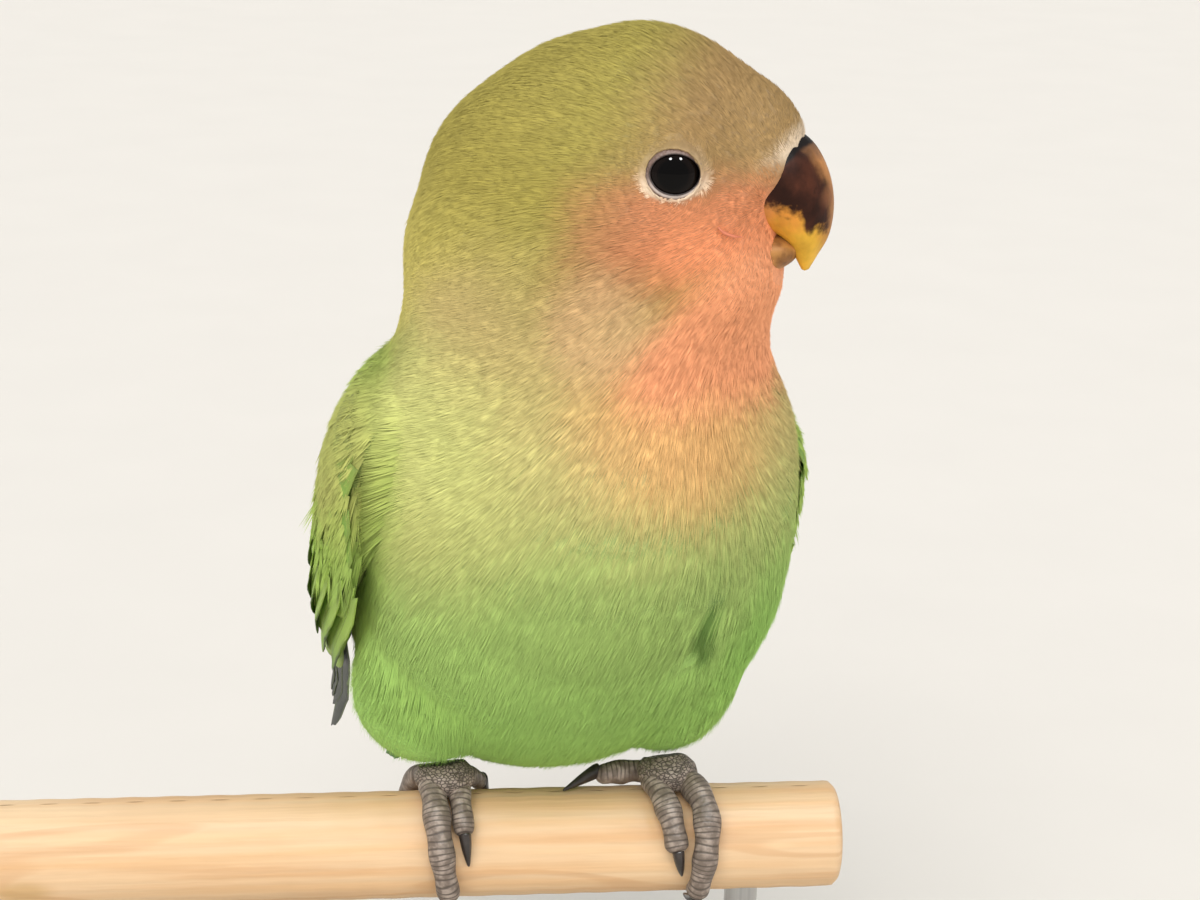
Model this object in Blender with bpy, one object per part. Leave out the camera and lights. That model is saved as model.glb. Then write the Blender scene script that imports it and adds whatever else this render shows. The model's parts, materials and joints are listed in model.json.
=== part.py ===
"""A young peach-faced lovebird on a cut length of dowel, held by a plain display stand.

The bird is a still, life-size model. Its body is shaped from rounded lumps that are melted into one
surface and parted into head, neck and torso with thin cuts. Everything that grows from it (bill, eyes,
wings, tail, legs) is cut back to a thin gap from that surface. Lengths are written in millimetres
and multiplied by MM. +Z is up, the bird faces -Y, and the origin is the middle of the base's underside.
"""

import math
import random

import bmesh
import bpy
from mathutils import Matrix, Vector
from mathutils.bvhtree import BVHTree

MM = 0.001
GAP = 0.3 * MM

# Stand and perch
BASE_WIDTH = 112 * MM
BASE_DEPTH = 84 * MM
BASE_THICKNESS = 6 * MM
BASE_CORNER = 12 * MM
BASE_EDGE = 1.2 * MM
ROD_RADIUS = 2.0 * MM
ROD_SPREAD = 40 * MM
ROD_INSET = 4 * MM
PERCH_RADIUS = 6.35 * MM
PERCH_LENGTH = 102 * MM
PERCH_EDGE = 0.6 * MM
PERCH_Z = 42 * MM
PERCH_Y = -8 * MM

# The bird stands off the middle of its perch. Every place on it is measured from the point of the
# perch's axis that is under the bird.
BIRD_X = 18 * MM
UNDER_BIRD = Vector((BIRD_X, PERCH_Y, PERCH_Z))

# Body: a long axis that rises forwards, turned a little to the bird's left
BODY_YAW = math.radians(10)
BODY_RISE = math.radians(48)
BODY_CENTRE = Vector((-1.4 * MM, 8 * MM, 35.5 * MM))
# distance along the axis towards the head, half width, depth of back, depth of belly
TORSO_SECTIONS = (
    (-41, 5.0, 5.0, 4.0),
    (-35, 12.0, 10.5, 9.5),
    (-25, 19.5, 15.5, 18.2),
    (-13, 24.0, 18.5, 24.8),
    (0, 25.2, 20.0, 26.5),
    (12, 24.6, 19.8, 25.5),
    (22, 22.5, 18.0, 23.5),
    (30, 18.0, 14.5, 19.0),
    (36, 11.0, 9.0, 12.0),
)

# Head: turned far to the bird's left
HEAD_YAW = math.radians(70)
HEAD_CENTRE = Vector((1.6 * MM, -9.0 * MM, 79.4 * MM))
# forwards, sideways, up; then the three radii. The neck's lumps follow, as x, y, z.
HEAD_LUMPS = (
    (-0.6, 0.0, 0.0, 20.2, 15.0, 19.2),
    (3.8, 0.0, 2.8, 15.6, 14.0, 17.6),
    (11.6, 0.0, 6.4, 10.8, 7.8, 9.0),
    (9.4, 0.0, -5.6, 11.0, 11.6, 9.8),
    (-4.8, 0.0, -6.0, 17.6, 16.8, 14.5),
)
NECK_LUMPS = (
    (0.4, -6.0, 66.0, 20.9, 17.4, 15.0),
    (0.0, -3.0, 56.0, 23.4, 19.5, 15.0),
)
# The cuts that part the body: where they cross the neck, and the lower one's tilt
HEAD_CUT_Z = 68.5 * MM
NECK_CUT_Z = 57.5 * MM
NECK_CUT_TILT = math.radians(22)
CLAY_VOXEL = 1.25 * MM
CLAY_SMOOTHING = 12
FLESH_TRIANGLES = 3000
SEAT_TRIANGLES = 1100
SEAT_GAP = 0.5 * MM

# Eyes and bill, in the head's own directions
EYE_FORWARD = 8.7 * MM
EYE_UP = 6.2 * MM
EYE_RADIUS = 3.2 * MM
EYE_BULGE = 1.0 * MM
LID_RADIUS = 2.85 * MM
LID_THICKNESS = 0.6 * MM
LID_HEIGHT = 0.82
# forwards and up of the ridge, forwards and up of the cutting edge, half width
UPPER_BILL = (
    (12.6, 8.4, 10.6, 1.0, 5.0),
    (16.4, 9.4, 13.0, 0.6, 6.2),
    (19.8, 9.6, 15.2, 0.1, 6.3),
    (22.4, 8.2, 16.8, -0.6, 5.8),
    (24.2, 5.2, 18.2, -1.3, 4.9),
    (24.9, 1.9, 19.4, -1.9, 3.9),
    (24.6, -1.4, 20.4, -2.8, 2.7),
    (23.4, -3.9, 21.2, -4.3, 1.4),
    (22.5, -5.6, 21.9, -5.6, 0.4),
)
LOWER_BILL = (
    (14.0, -2.0, 14.0, -7.8, 4.4),
    (17.5, -1.9, 17.5, -7.6, 4.3),
    (19.8, -2.0, 20.0, -7.0, 3.7),
    (21.2, -2.6, 21.4, -6.2, 2.6),
    (22.0, -3.6, 22.2, -5.2, 1.4),
)
NOSTRIL = (21.9, 2.6, 8.3)
NOSTRIL_RADIUS = 0.75 * MM

# Wings lie folded on a sheet round the body's axis: distance along it, half width, depth, and how
# far the middle of the sheet is towards the back
WING_SHEET = (
    (-66, 18.0, 11.5, 5.5),
    (-42, 19.4, 14.5, 3.6),
    (-26, 22.0, 17.2, 2.2),
    (-10, 25.2, 19.6, 0.8),
    (8, 26.2, 20.6, 0.0),
    (20, 26.0, 20.0, 0.0),
    (30, 22.0, 17.5, 0.0),
)
# The arm, which every row of feathers is rooted in. Angles run from straight sideways to the back.
SHELL_FRONT = 29 * MM
SHELL_REAR = -16 * MM
SHELL_LOW = math.radians(-14)
SHELL_HIGH = math.radians(80)
SHELL_THICKNESS = 2.4 * MM
SHELL_DEPTH = 4.6 * MM
SHELL_FRONT_DROP = 2.6 * MM
# A row of feathers: how many, where the first starts and the change to each next one, its length
# and change, angles of the first and last at root and tip, half width, thickness, height over the
# sheet of the first and the change, at root and tip, and how far the back edge is sunk
WING_TIERS = {
    "primaries": {
        "count": 6, "root": (-9, 0.0), "length": (53, -2.8),
        "root_angles": (-10, 22), "tip_angles": (6, 38), "half_width": 2.5,
        "thickness": 0.55, "height": (0.5, 0.25), "tip_height": (-1.2, 0.6), "sink": 0.5,
    },
    "secondaries": {
        "count": 6, "root": (-7, 0.4), "length": (35, -1.2),
        "root_angles": (4, 76), "tip_angles": (14, 76), "half_width": 3.9,
        "thickness": 0.6, "height": (1.3, 0.2), "tip_height": (2.3, 0.2), "sink": 0.8,
    },
    "greater_coverts": {
        "count": 6, "root": (0, -0.2), "length": (18, -0.4),
        "root_angles": (-8, 72), "tip_angles": (-4, 72), "half_width": 4.2,
        "thickness": 0.6, "height": (1.4, 0.15), "tip_height": (3.1, 0.15), "sink": 0.8,
    },
    "median_coverts": {
        "count": 5, "root": (9, -0.3), "length": (14, -0.3),
        "root_angles": (-4, 66), "tip_angles": (-4, 66), "half_width": 4.6,
        "thickness": 0.6, "height": (1.2, 0.1), "tip_height": (3.4, 0.1), "sink": 0.8,
    },
}

VANE_STATIONS = (0.0, 0.3, 0.62, 0.88, 1.0)
VANE_WIDTHS = (0.55, 0.95, 1.0, 0.74, 0.18)

# Tail, in line with the back
TAIL_ROOT = -35 * MM
TAIL_LIFT = math.radians(6)
TAIL_CORE = (8.5 * MM, 9.5 * MM, 5.0 * MM)
# A fan of feathers: how many, where it starts, the length of the middle one and how much shorter the
# outer ones are, half the fan's angle, half its width at the root, half width, thickness, height of
# the middle ones and the step to each next one
TAIL_TIERS = {
    "tail_feathers": {
        "count": 10, "root": 2, "length": 43, "shorter": 11, "fan": 7, "spread": 4.2, "half_width": 3.1,
        "thickness": 0.55, "height": 1.6, "step": -0.75, "tilt": 0.12,
    },
    "upper_coverts": {
        "count": 4, "root": -4, "length": 25, "shorter": 5, "fan": 9, "spread": 4.6, "half_width": 4.6,
        "thickness": 0.6, "height": 3.2, "step": -0.8, "tilt": 0.12,
    },
    "under_coverts": {
        "count": 4, "root": -4, "length": 28, "shorter": 5, "fan": 7, "spread": 4.4, "half_width": 4.6,
        "thickness": 0.6, "height": -3.6, "step": 0.8, "tilt": -0.12,
    },
}

# Legs: middle of each foot on the perch, to the bird's right and left
FOOT_X = {"right": -14.2 * MM, "left": 12.4 * MM}
SIDE = {"right": -1.0, "left": 1.0}
PAD_RADII = (3.5 * MM, 3.6 * MM, 2.0 * MM)
TARSUS_RADIUS = 1.9 * MM
THIGHS = {
    "right": ((-15.6, 4.0, 18.6), (10.4, 10.0, 9.6)),
    "left": ((11.2, 4.5, 18.6), (9.2, 9.5, 9.4)),
}
# Toes lie over the perch: angle round it (0 on top, rising to the front), place along it, radius;
# then the same for the claw's start and tip
TOES = {
    "right": {
        "outer_front": (((6, -15.7, 1.6), (60, -15.2, 1.55), (118, -13.9, 1.2)), (145, -13.5)),
        "inner_front": (((6, -12.7, 1.3), (34, -12.5, 1.3), (60, -12.2, 1.1)), (88, -11.7)),
        "inner_back": (((-16, -12.6, 1.3), (-34, -10.8, 1.25), (-50, -9.2, 1.05)), (-74, -8.4)),
        "outer_back": (((-18, -15.6, 1.5), (-50, -17.6, 1.4), (-88, -18.2, 1.15)), (-116, -18.0)),
    },
    "left": {
        "outer_front": (((4, 14.0, 1.6), (48, 16.3, 1.6), (122, 15.3, 1.3)), (149, 14.4)),
        "inner_front": (((8, 10.6, 1.5), (46, 12.0, 1.5), (78, 12.8, 1.3)), (106, 13.6)),
        "inner_back": (((-14, 9.6, 1.45), (-13, 6.6, 1.4), (-11, 3.9, 1.2)), (6, -0.2)),
        "outer_back": (((-20, 13.8, 1.5), (-52, 15.6, 1.4), (-90, 16.2, 1.15)), (-118, 16.0)),
    },
}
TOE_STEPS = 7
TOE_PADS = 0.07
CLAW_STEPS = 4
CLAW_RADIUS = 0.85 * MM
CLAW_TIP = 0.16 * MM


def clear_scene():
    for old in list(bpy.data.objects):
        bpy.data.objects.remove(old)


def material(name, colour, roughness, metallic=0.0):
    made = bpy.data.materials.new(name)
    made.use_nodes = True
    shader = made.node_tree.nodes["Principled BSDF"]
    shader.inputs["Base Color"].default_value = (*colour, 1.0)
    shader.inputs["Roughness"].default_value = roughness
    shader.inputs["Metallic"].default_value = metallic
    made.diffuse_color = (*colour, 1.0)
    return made


def show(name, mesh, finish):
    """A named object in the scene, which becomes a node of the part."""
    made = bpy.data.objects.new(name, mesh)
    bpy.context.scene.collection.objects.link(made)
    mesh.name = name
    mesh.materials.clear()
    mesh.materials.append(finish)
    mesh.shade_smooth()
    mesh.set_sharp_from_angle(angle=math.radians(40))
    return made


def mesh_of(bm):
    """The mesh of a bmesh, with its faces pointing out."""
    bmesh.ops.recalc_face_normals(bm, faces=bm.faces)
    made = bpy.data.meshes.new("shape")
    bm.to_mesh(made)
    bm.free()
    return made


def modified(mesh, *modifiers):
    """A new mesh: this one after the given modifiers, each a type and its settings."""
    scratch = bpy.data.objects.new("scratch", mesh)
    bpy.context.scene.collection.objects.link(scratch)
    for kind, settings in modifiers:
        added = scratch.modifiers.new(kind, kind)
        for key, value in settings.items():
            setattr(added, key, value)
    graph = bpy.context.evaluated_depsgraph_get()
    made = bpy.data.meshes.new_from_object(scratch.evaluated_get(graph), depsgraph=graph)
    bpy.data.objects.remove(scratch)
    return made


def area(verts):
    faces = {face for vert in verts for face in vert.link_faces}
    return sum(face.calc_area() for face in faces)


def largest(mesh):
    """Keeps only the largest closed surface of a mesh."""
    bm = bmesh.new()
    bm.from_mesh(mesh)
    left, islands = set(bm.verts), []
    while left:
        stack, island = [left.pop()], set()
        while stack:
            vert = stack.pop()
            island.add(vert)
            for edge in vert.link_edges:
                other = edge.other_vert(vert)
                if other in left:
                    left.remove(other)
                    stack.append(other)
        islands.append(island)
    keep = max(islands, key=area)
    bmesh.ops.delete(bm, geom=[v for v in bm.verts if v not in keep], context="VERTS")
    bmesh.ops.triangulate(bm, faces=bm.faces)
    bm.to_mesh(mesh)
    bm.free()
    return mesh


def joined(meshes):
    """One closed mesh from several that overlap, by one Boolean union on a collection."""
    first, *others = meshes
    group = bpy.data.collections.new("pieces")
    for mesh in others:
        group.objects.link(bpy.data.objects.new("piece", mesh))
    settings = {"operation": "UNION", "operand_type": "COLLECTION", "solver": "MANIFOLD"}
    made = modified(first, ("BOOLEAN", {**settings, "collection": group}))
    for piece in list(group.objects):
        bpy.data.objects.remove(piece)
    bpy.data.collections.remove(group)
    return largest(made)


def cut(mesh, cutter):
    """The mesh less another one."""
    knife = bpy.data.objects.new("knife", cutter)
    knife.hide_render = True
    settings = {"operation": "DIFFERENCE", "object": knife, "solver": "MANIFOLD"}
    made = modified(mesh, ("BOOLEAN", settings))
    bpy.data.objects.remove(knife)
    return largest(made)


def grown(mesh, distance=GAP):
    """A copy whose surface stands further out."""
    made = mesh.copy()
    normals = [v.normal.copy() for v in made.vertices]
    for vert, normal in zip(made.vertices, normals):
        vert.co += normal * distance
    return made


def ellipsoid(centre, radii, turn=None, subdivisions=3):
    bm = bmesh.new()
    bmesh.ops.create_icosphere(bm, subdivisions=subdivisions, radius=1.0)
    matrix = Matrix.Translation(centre) @ (turn or Matrix.Identity(4)) @ Matrix.Diagonal((*radii, 1.0))
    bmesh.ops.transform(bm, matrix=matrix, verts=bm.verts)
    return mesh_of(bm)


def between(rows, at):
    """Sizes read between the rows of a table of sections, which run in order of their first column."""
    if at <= rows[0][0]:
        return rows[0][1:]
    for low, high in zip(rows, rows[1:]):
        if at <= high[0]:
            t = (at - low[0]) / (high[0] - low[0])
            return tuple(a + (b - a) * t for a, b in zip(low[1:], high[1:]))
    return rows[-1][1:]


def spread(pair, share):
    """The value a share of the way from the first of a pair to its second."""
    return pair[0] + (pair[1] - pair[0]) * share


# The bird's own directions
YAW = Matrix.Rotation(BODY_YAW, 3, "Z")
BODY_ALONG = YAW @ Vector((0, -math.cos(BODY_RISE), math.sin(BODY_RISE)))
BODY_BACK = YAW @ Vector((0, math.sin(BODY_RISE), math.cos(BODY_RISE)))
BODY_LEFT = YAW @ Vector((1, 0, 0))
HEAD_TURN = Matrix.Rotation(HEAD_YAW, 4, "Z") @ Matrix.Rotation(math.radians(-90), 4, "Z")


def body_point(along, left, back):
    return UNDER_BIRD + BODY_CENTRE + along * BODY_ALONG + left * BODY_LEFT + back * BODY_BACK


def head_point(forwards, left, up):
    """A place on the head, from millimetres forwards, to the bird's left and up."""
    return UNDER_BIRD + HEAD_CENTRE + (HEAD_TURN @ Vector((forwards, left, up)) * MM)


def loft(rings):
    """A closed mesh through rings of points, with a fan at each end."""
    bm = bmesh.new()
    loops = [[bm.verts.new(p) for p in ring] for ring in rings]
    count = len(loops[0])
    for a, b in zip(loops, loops[1:]):
        for i in range(count):
            j = (i + 1) % count
            bm.faces.new((a[i], a[j], b[j], b[i]))
    bm.faces.new(reversed(loops[0]))
    bm.faces.new(loops[-1])
    return mesh_of(bm)


def torso_clay(sides=32):
    rings = []
    for along, width, back, belly in TORSO_SECTIONS:
        ring = []
        for i in range(sides):
            angle = 2 * math.pi * i / sides
            depth = back if math.sin(angle) > 0 else belly
            ring.append(body_point(along * MM, width * MM * math.cos(angle), depth * MM * math.sin(angle)))
        rings.append(ring)
    return loft(rings)


def flesh_clay():
    """Head, neck and torso as overlapping lumps, melted into one surface."""
    lumps = [torso_clay()]
    for forwards, left, up, *radii in HEAD_LUMPS:
        lumps.append(ellipsoid(head_point(forwards, left, up), Vector(radii) * MM, HEAD_TURN))
    for x, y, z, *radii in NECK_LUMPS:
        lumps.append(ellipsoid(UNDER_BIRD + Vector((x, y, z)) * MM, Vector(radii) * MM))
    bm = bmesh.new()
    for lump in lumps:
        bm.from_mesh(lump)
    clay = bpy.data.meshes.new("clay")
    bm.to_mesh(clay)
    bm.free()
    fine = modified(
        clay,
        ("REMESH", {"mode": "VOXEL", "voxel_size": CLAY_VOXEL}),
        ("SMOOTH", {"factor": 0.5, "iterations": CLAY_SMOOTHING}),
        ("TRIANGULATE", {}),
    )
    ratio = FLESH_TRIANGLES / len(fine.polygons)
    return largest(modified(fine, ("DECIMATE", {"ratio": ratio})))


def half(mesh, point, normal):
    """What lies on the normal's side of a plane, with its cut closed."""
    bm = bmesh.new()
    bm.from_mesh(mesh)
    geom = [*bm.verts, *bm.edges, *bm.faces]
    bmesh.ops.bisect_plane(bm, geom=geom, plane_co=point, plane_no=normal, clear_inner=True, dist=1e-7)
    bmesh.ops.holes_fill(bm, edges=[e for e in bm.edges if e.is_boundary], sides=0)
    return largest(mesh_of(bm))


def part_flesh(flesh):
    """The body parted into head, neck and torso."""
    head_normal = Vector((0, 0, 1))
    head_at = UNDER_BIRD + Vector((0, 0, HEAD_CUT_Z))
    neck_normal = YAW @ Vector((0, -math.sin(NECK_CUT_TILT), math.cos(NECK_CUT_TILT)))
    neck_at = UNDER_BIRD + Vector((0, 0, NECK_CUT_Z))
    head = half(flesh, head_at + head_normal * GAP / 2, head_normal)
    rest = half(flesh, head_at - head_normal * GAP / 2, -head_normal)
    neck = half(rest, neck_at + neck_normal * GAP / 2, neck_normal)
    torso = half(rest, neck_at - neck_normal * GAP / 2, -neck_normal)
    return head, neck, torso


def bill_half(rows, sides=12):
    """A half of the bill: rings between its ridge and its cutting edge."""
    rings = []
    for ridge_f, ridge_u, edge_f, edge_u, width in rows:
        middle = ((ridge_f + edge_f) / 2, (ridge_u + edge_u) / 2)
        reach = ((ridge_f - edge_f) / 2, (ridge_u - edge_u) / 2)
        ring = []
        for i in range(sides):
            angle = 2 * math.pi * i / sides
            c = math.cos(angle)
            forwards, up = middle[0] + reach[0] * c, middle[1] + reach[1] * c
            ring.append(head_point(forwards, width * math.sin(angle), up))
        rings.append(ring)
    return loft(rings)


def eye_seats(flesh):
    """Where each eye comes out of the head, and the way it looks."""
    tree = BVHTree.FromPolygons([v.co for v in flesh.vertices], [p.vertices for p in flesh.polygons])
    seats = {}
    for name, side in SIDE.items():
        inside = head_point(EYE_FORWARD / MM, 0, EYE_UP / MM)
        outward = (HEAD_TURN @ Vector((0.1, side, 0.0))).normalized()
        surface, normal, _, _ = tree.ray_cast(inside, outward)
        seats[name] = (surface, (normal.normalized() + outward).normalized())
    return seats


def lid_ring(surface, outward):
    """A raised oval rim round the eye."""
    bm = bmesh.new()
    bmesh.ops.create_circle(bm, segments=8, radius=LID_THICKNESS)
    bmesh.ops.rotate(bm, verts=bm.verts, matrix=Matrix.Rotation(math.radians(90), 3, "X"))
    bmesh.ops.translate(bm, verts=bm.verts, vec=(LID_RADIUS, 0, 0))
    bmesh.ops.spin(bm, geom=[*bm.verts, *bm.edges], cent=(0, 0, 0), axis=(0, 0, 1),
                   angle=math.tau, steps=20, use_merge=True)
    bmesh.ops.remove_doubles(bm, verts=bm.verts, dist=1e-6)
    bmesh.ops.scale(bm, vec=(1, LID_HEIGHT, 1), verts=bm.verts)
    turn = outward.to_track_quat("Z", "Y").to_matrix().to_4x4()
    bmesh.ops.transform(bm, matrix=Matrix.Translation(surface) @ turn, verts=bm.verts)
    return mesh_of(bm)


def build_head(head, flesh, stand_off, horn, finish):
    """Lids and sockets on the head, the eyes, and the two halves of the bill."""
    seats = eye_seats(flesh)
    head = joined([head, *(lid_ring(*seat) for seat in seats.values())])
    for name, (surface, outward) in seats.items():
        centre = surface - outward * (EYE_RADIUS - EYE_BULGE)
        head = cut(head, ellipsoid(centre, (EYE_RADIUS + GAP,) * 3))
        show(f"eye_{name}", ellipsoid(centre, (EYE_RADIUS,) * 3, subdivisions=2), horn["eye"])
    show("head", head, finish)
    upper = cut(bill_half(UPPER_BILL), stand_off)
    lower = cut(cut(bill_half(LOWER_BILL), stand_off), grown(upper))
    for side in SIDE.values():
        forwards, out, up = NOSTRIL
        pit = ellipsoid(head_point(forwards, side * out, up), (NOSTRIL_RADIUS,) * 3, subdivisions=2)
        upper = cut(upper, pit)
    show("bill_upper", upper, horn["bill"])
    show("bill_lower", lower, horn["bill"])


def vane(place, half_width, thickness):
    """A closed feather: thin, widest past its middle, round at its end.

    place(t, across, height) gives the point a share t along it, across its middle line and above it.
    """
    bm = bmesh.new()
    rows = []
    for t, wide in zip(VANE_STATIONS, VANE_WIDTHS):
        rise = thickness / 2 * (1.0 if t < 1.0 else 0.5)
        reach = half_width * wide
        corners = ((-reach, -rise), (reach, -rise), (reach, rise), (-reach, rise))
        rows.append([bm.verts.new(place(t, across, up)) for across, up in corners])
    for near, far in zip(rows, rows[1:]):
        # the two faces are split along the same diagonal, so that a curved vane keeps its thickness
        for a, b, c in ((near[0], near[1], far[1]), (near[0], far[1], far[0]),
                        (near[3], near[2], far[2]), (near[3], far[2], far[3])):
            bm.faces.new((a, b, c))
        for i, j in ((1, 2), (3, 0)):
            bm.faces.new((near[i], near[j], far[j]))
            bm.faces.new((near[i], far[j], far[i]))
    for end in (rows[0], rows[-1]):
        bm.faces.new(end[:3])
        bm.faces.new((end[0], end[2], end[3]))
    return mesh_of(bm)


def wing_point(side, along, angle, height):
    """A place on a wing's sheet. Angles run from straight sideways to the back."""
    width, depth, offset = between(WING_SHEET, along / MM)
    reach = MM / math.hypot(math.cos(angle) / width, math.sin(angle) / depth) + height
    return body_point(along, side * reach * math.cos(angle), offset * MM + reach * math.sin(angle))


def wing_shell(side, rows=9, columns=8):
    """The covered arm of a folded wing, thick in its middle and narrow at both ends."""
    bm = bmesh.new()
    top, bottom = [], []
    middle, span = (SHELL_LOW + SHELL_HIGH) / 2, SHELL_HIGH - SHELL_LOW
    for i in range(rows + 1):
        u = i / rows
        along = SHELL_FRONT + (SHELL_REAR - SHELL_FRONT) * u
        narrow = 0.45 + 0.55 * math.sin(math.pi * (0.12 + 0.76 * u))
        drop = SHELL_FRONT_DROP * max(0.0, 1 - 3 * u) ** 2
        over, under = [], []
        for j in range(columns + 1):
            v = j / columns
            angle = middle + (v - 0.5) * span * narrow
            bulge = math.sqrt(math.sin(math.pi * v) * math.sin(math.pi * (0.10 + 0.80 * u)))
            height = 0.5 * MM + SHELL_THICKNESS * bulge - drop
            over.append(bm.verts.new(wing_point(side, along, angle, height)))
            under.append(bm.verts.new(wing_point(side, along, angle, -SHELL_DEPTH)))
        top.append(over)
        bottom.append(under)
    for i in range(rows):
        for j in range(columns):
            bm.faces.new((top[i][j], top[i][j + 1], top[i + 1][j + 1], top[i + 1][j]))
            bm.faces.new((bottom[i][j], bottom[i + 1][j], bottom[i + 1][j + 1], bottom[i][j + 1]))
    for j in range(columns):
        for i in (0, rows):
            bm.faces.new((top[i][j], bottom[i][j], bottom[i][j + 1], top[i][j + 1]))
    for i in range(rows):
        for j in (0, columns):
            bm.faces.new((top[i][j], top[i + 1][j], bottom[i + 1][j], bottom[i][j]))
    return mesh_of(bm)


def wing_tier(side, tier, chance):
    """One row of a wing's feathers, laid like shingles with the ones nearer the back on top."""
    feathers = []
    half_width = tier["half_width"] * MM
    for k in range(tier["count"]):
        share = k / (tier["count"] - 1)
        start = (tier["root"][0] + tier["root"][1] * k) * MM
        length = (tier["length"][0] + tier["length"][1] * k) * MM * chance.uniform(0.985, 1.015)
        low = math.radians(spread(tier["root_angles"], share))
        high = math.radians(spread(tier["tip_angles"], share))
        root_height = tier["height"][0] + tier["height"][1] * k
        tip_height = tier["tip_height"][0] + tier["tip_height"][1] * k

        def place(t, across, up):
            along = start - length * t
            angle = low + (high - low) * t
            width, depth, _ = between(WING_SHEET, along / MM)
            reach = MM / math.hypot(math.cos(angle) / width, math.sin(angle) / depth)
            lift = spread((root_height, tip_height), t) - tier["sink"] * across / half_width
            return wing_point(side, along, angle + across / reach, lift * MM + up)

        feathers.append(vane(place, half_width, tier["thickness"] * MM))
    return feathers


def build_wing(name, seat, finish):
    side = SIDE[name]
    chance = random.Random(11)
    pieces = [wing_shell(side)]
    for tier in WING_TIERS.values():
        pieces += wing_tier(side, tier, chance)
    return show(f"wing_{name}", cut(joined(pieces), seat), finish)


def tail_point(along, left, back):
    """A place on the tail: the way back along it, to the left, and above its sheet."""
    turn = Matrix.Rotation(TAIL_LIFT, 3, BODY_LEFT)
    start = body_point(TAIL_ROOT, 0, 2.5 * MM)
    return start + turn @ (-BODY_ALONG * along + BODY_LEFT * left + BODY_BACK * back)


def tail_tier(tier):
    """A fan of feathers. The middle ones are longest and lie outermost."""
    feathers = []
    for k in range(tier["count"]):
        share = 2 * k / (tier["count"] - 1) - 1
        angle = math.radians(tier["fan"]) * share
        size = (tier["length"] - tier["shorter"] * abs(share) ** 1.5) * MM
        rise = (tier["height"] + tier["step"] * abs(share) * (tier["count"] - 1) / 2) * MM
        half_width = tier["half_width"] * MM

        def place(t, across, up):
            out = tier["spread"] * MM * share + math.sin(angle) * size * t + across * math.cos(angle)
            droop = tier["tilt"] * across * math.copysign(1, share)
            return tail_point(tier["root"] * MM + size * t, out, rise - droop + up)

        feathers.append(vane(place, half_width, tier["thickness"] * MM))
    return feathers


def build_tail(seat, finish):
    turn = Matrix((BODY_LEFT, -BODY_ALONG, BODY_BACK)).transposed().to_4x4()
    pieces = [ellipsoid(tail_point(-1.0 * MM, 0, 0), TAIL_CORE, turn, subdivisions=2)]
    for tier in TAIL_TIERS.values():
        pieces += tail_tier(tier)
    show("tail", cut(joined(pieces), seat), finish)


def tube(points, radii, resolution=2):
    """A round, tapered tube with closed ends, from a curve with a bevel."""
    curve = bpy.data.curves.new("path", "CURVE")
    curve.dimensions = "3D"
    curve.bevel_depth = 1.0
    curve.bevel_resolution = resolution
    curve.use_fill_caps = True
    spline = curve.splines.new("POLY")
    spline.points.add(len(points) - 1)
    for spot, point, radius in zip(spline.points, points, radii):
        spot.co = (*point, 1.0)
        spot.radius = radius
    scratch = bpy.data.objects.new("path", curve)
    bpy.context.scene.collection.objects.link(scratch)
    graph = bpy.context.evaluated_depsgraph_get()
    made = bpy.data.meshes.new_from_object(scratch.evaluated_get(graph), depsgraph=graph)
    bpy.data.objects.remove(scratch)
    bm = bmesh.new()
    bm.from_mesh(made)
    bmesh.ops.remove_doubles(bm, verts=bm.verts, dist=1e-6)
    return mesh_of(bm)


def over_perch(x, angle, clearance):
    """A place round the perch: across it, an angle from its top towards the front, above its surface."""
    reach = PERCH_RADIUS + clearance
    return UNDER_BIRD + Vector((x, -reach * math.sin(angle), reach * math.cos(angle)))


def build_toe(name, toe, neighbours, finish):
    """A toe laid over the perch, and its claw, each cut back from what is there already."""
    rows, (tip_angle, tip_x) = TOES[name][toe]
    stations = [(i, *row) for i, row in enumerate(rows)]
    points, radii = [], []
    for i in range(TOE_STEPS + 1):
        t = i / TOE_STEPS
        angle, x, radius = between(stations, t * (len(rows) - 1))
        radius *= MM * (1 + TOE_PADS * math.cos(6 * math.pi * t)) * (0.72 if i == TOE_STEPS else 1.0)
        points.append(over_perch(x * MM, math.radians(angle), GAP + radius))
        radii.append(radius)
    form = tube(points, radii)
    for other in neighbours:
        form = cut(form, grown(other))
    neighbours.append(form)
    show(f"toe_{name}_{toe}", form, finish["skin"])
    (angle, x, radius), points, radii = rows[-1], [], []
    for i in range(CLAW_STEPS + 1):
        t = i / CLAW_STEPS
        size = spread((CLAW_RADIUS, CLAW_TIP), t ** 1.4)
        rise = GAP + size + radius * 0.6 * MM * (1 - t) ** 1.3
        across = spread((x, tip_x), t) * MM
        round_perch = math.radians(spread((angle, tip_angle), t))
        points.append(over_perch(across, round_perch, rise))
        radii.append(size)
    claw = cut(cut(tube(points, radii, resolution=1), grown(form)), grown(neighbours[2]))
    show(f"claw_{name}_{toe}", claw, finish["claw"])


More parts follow.
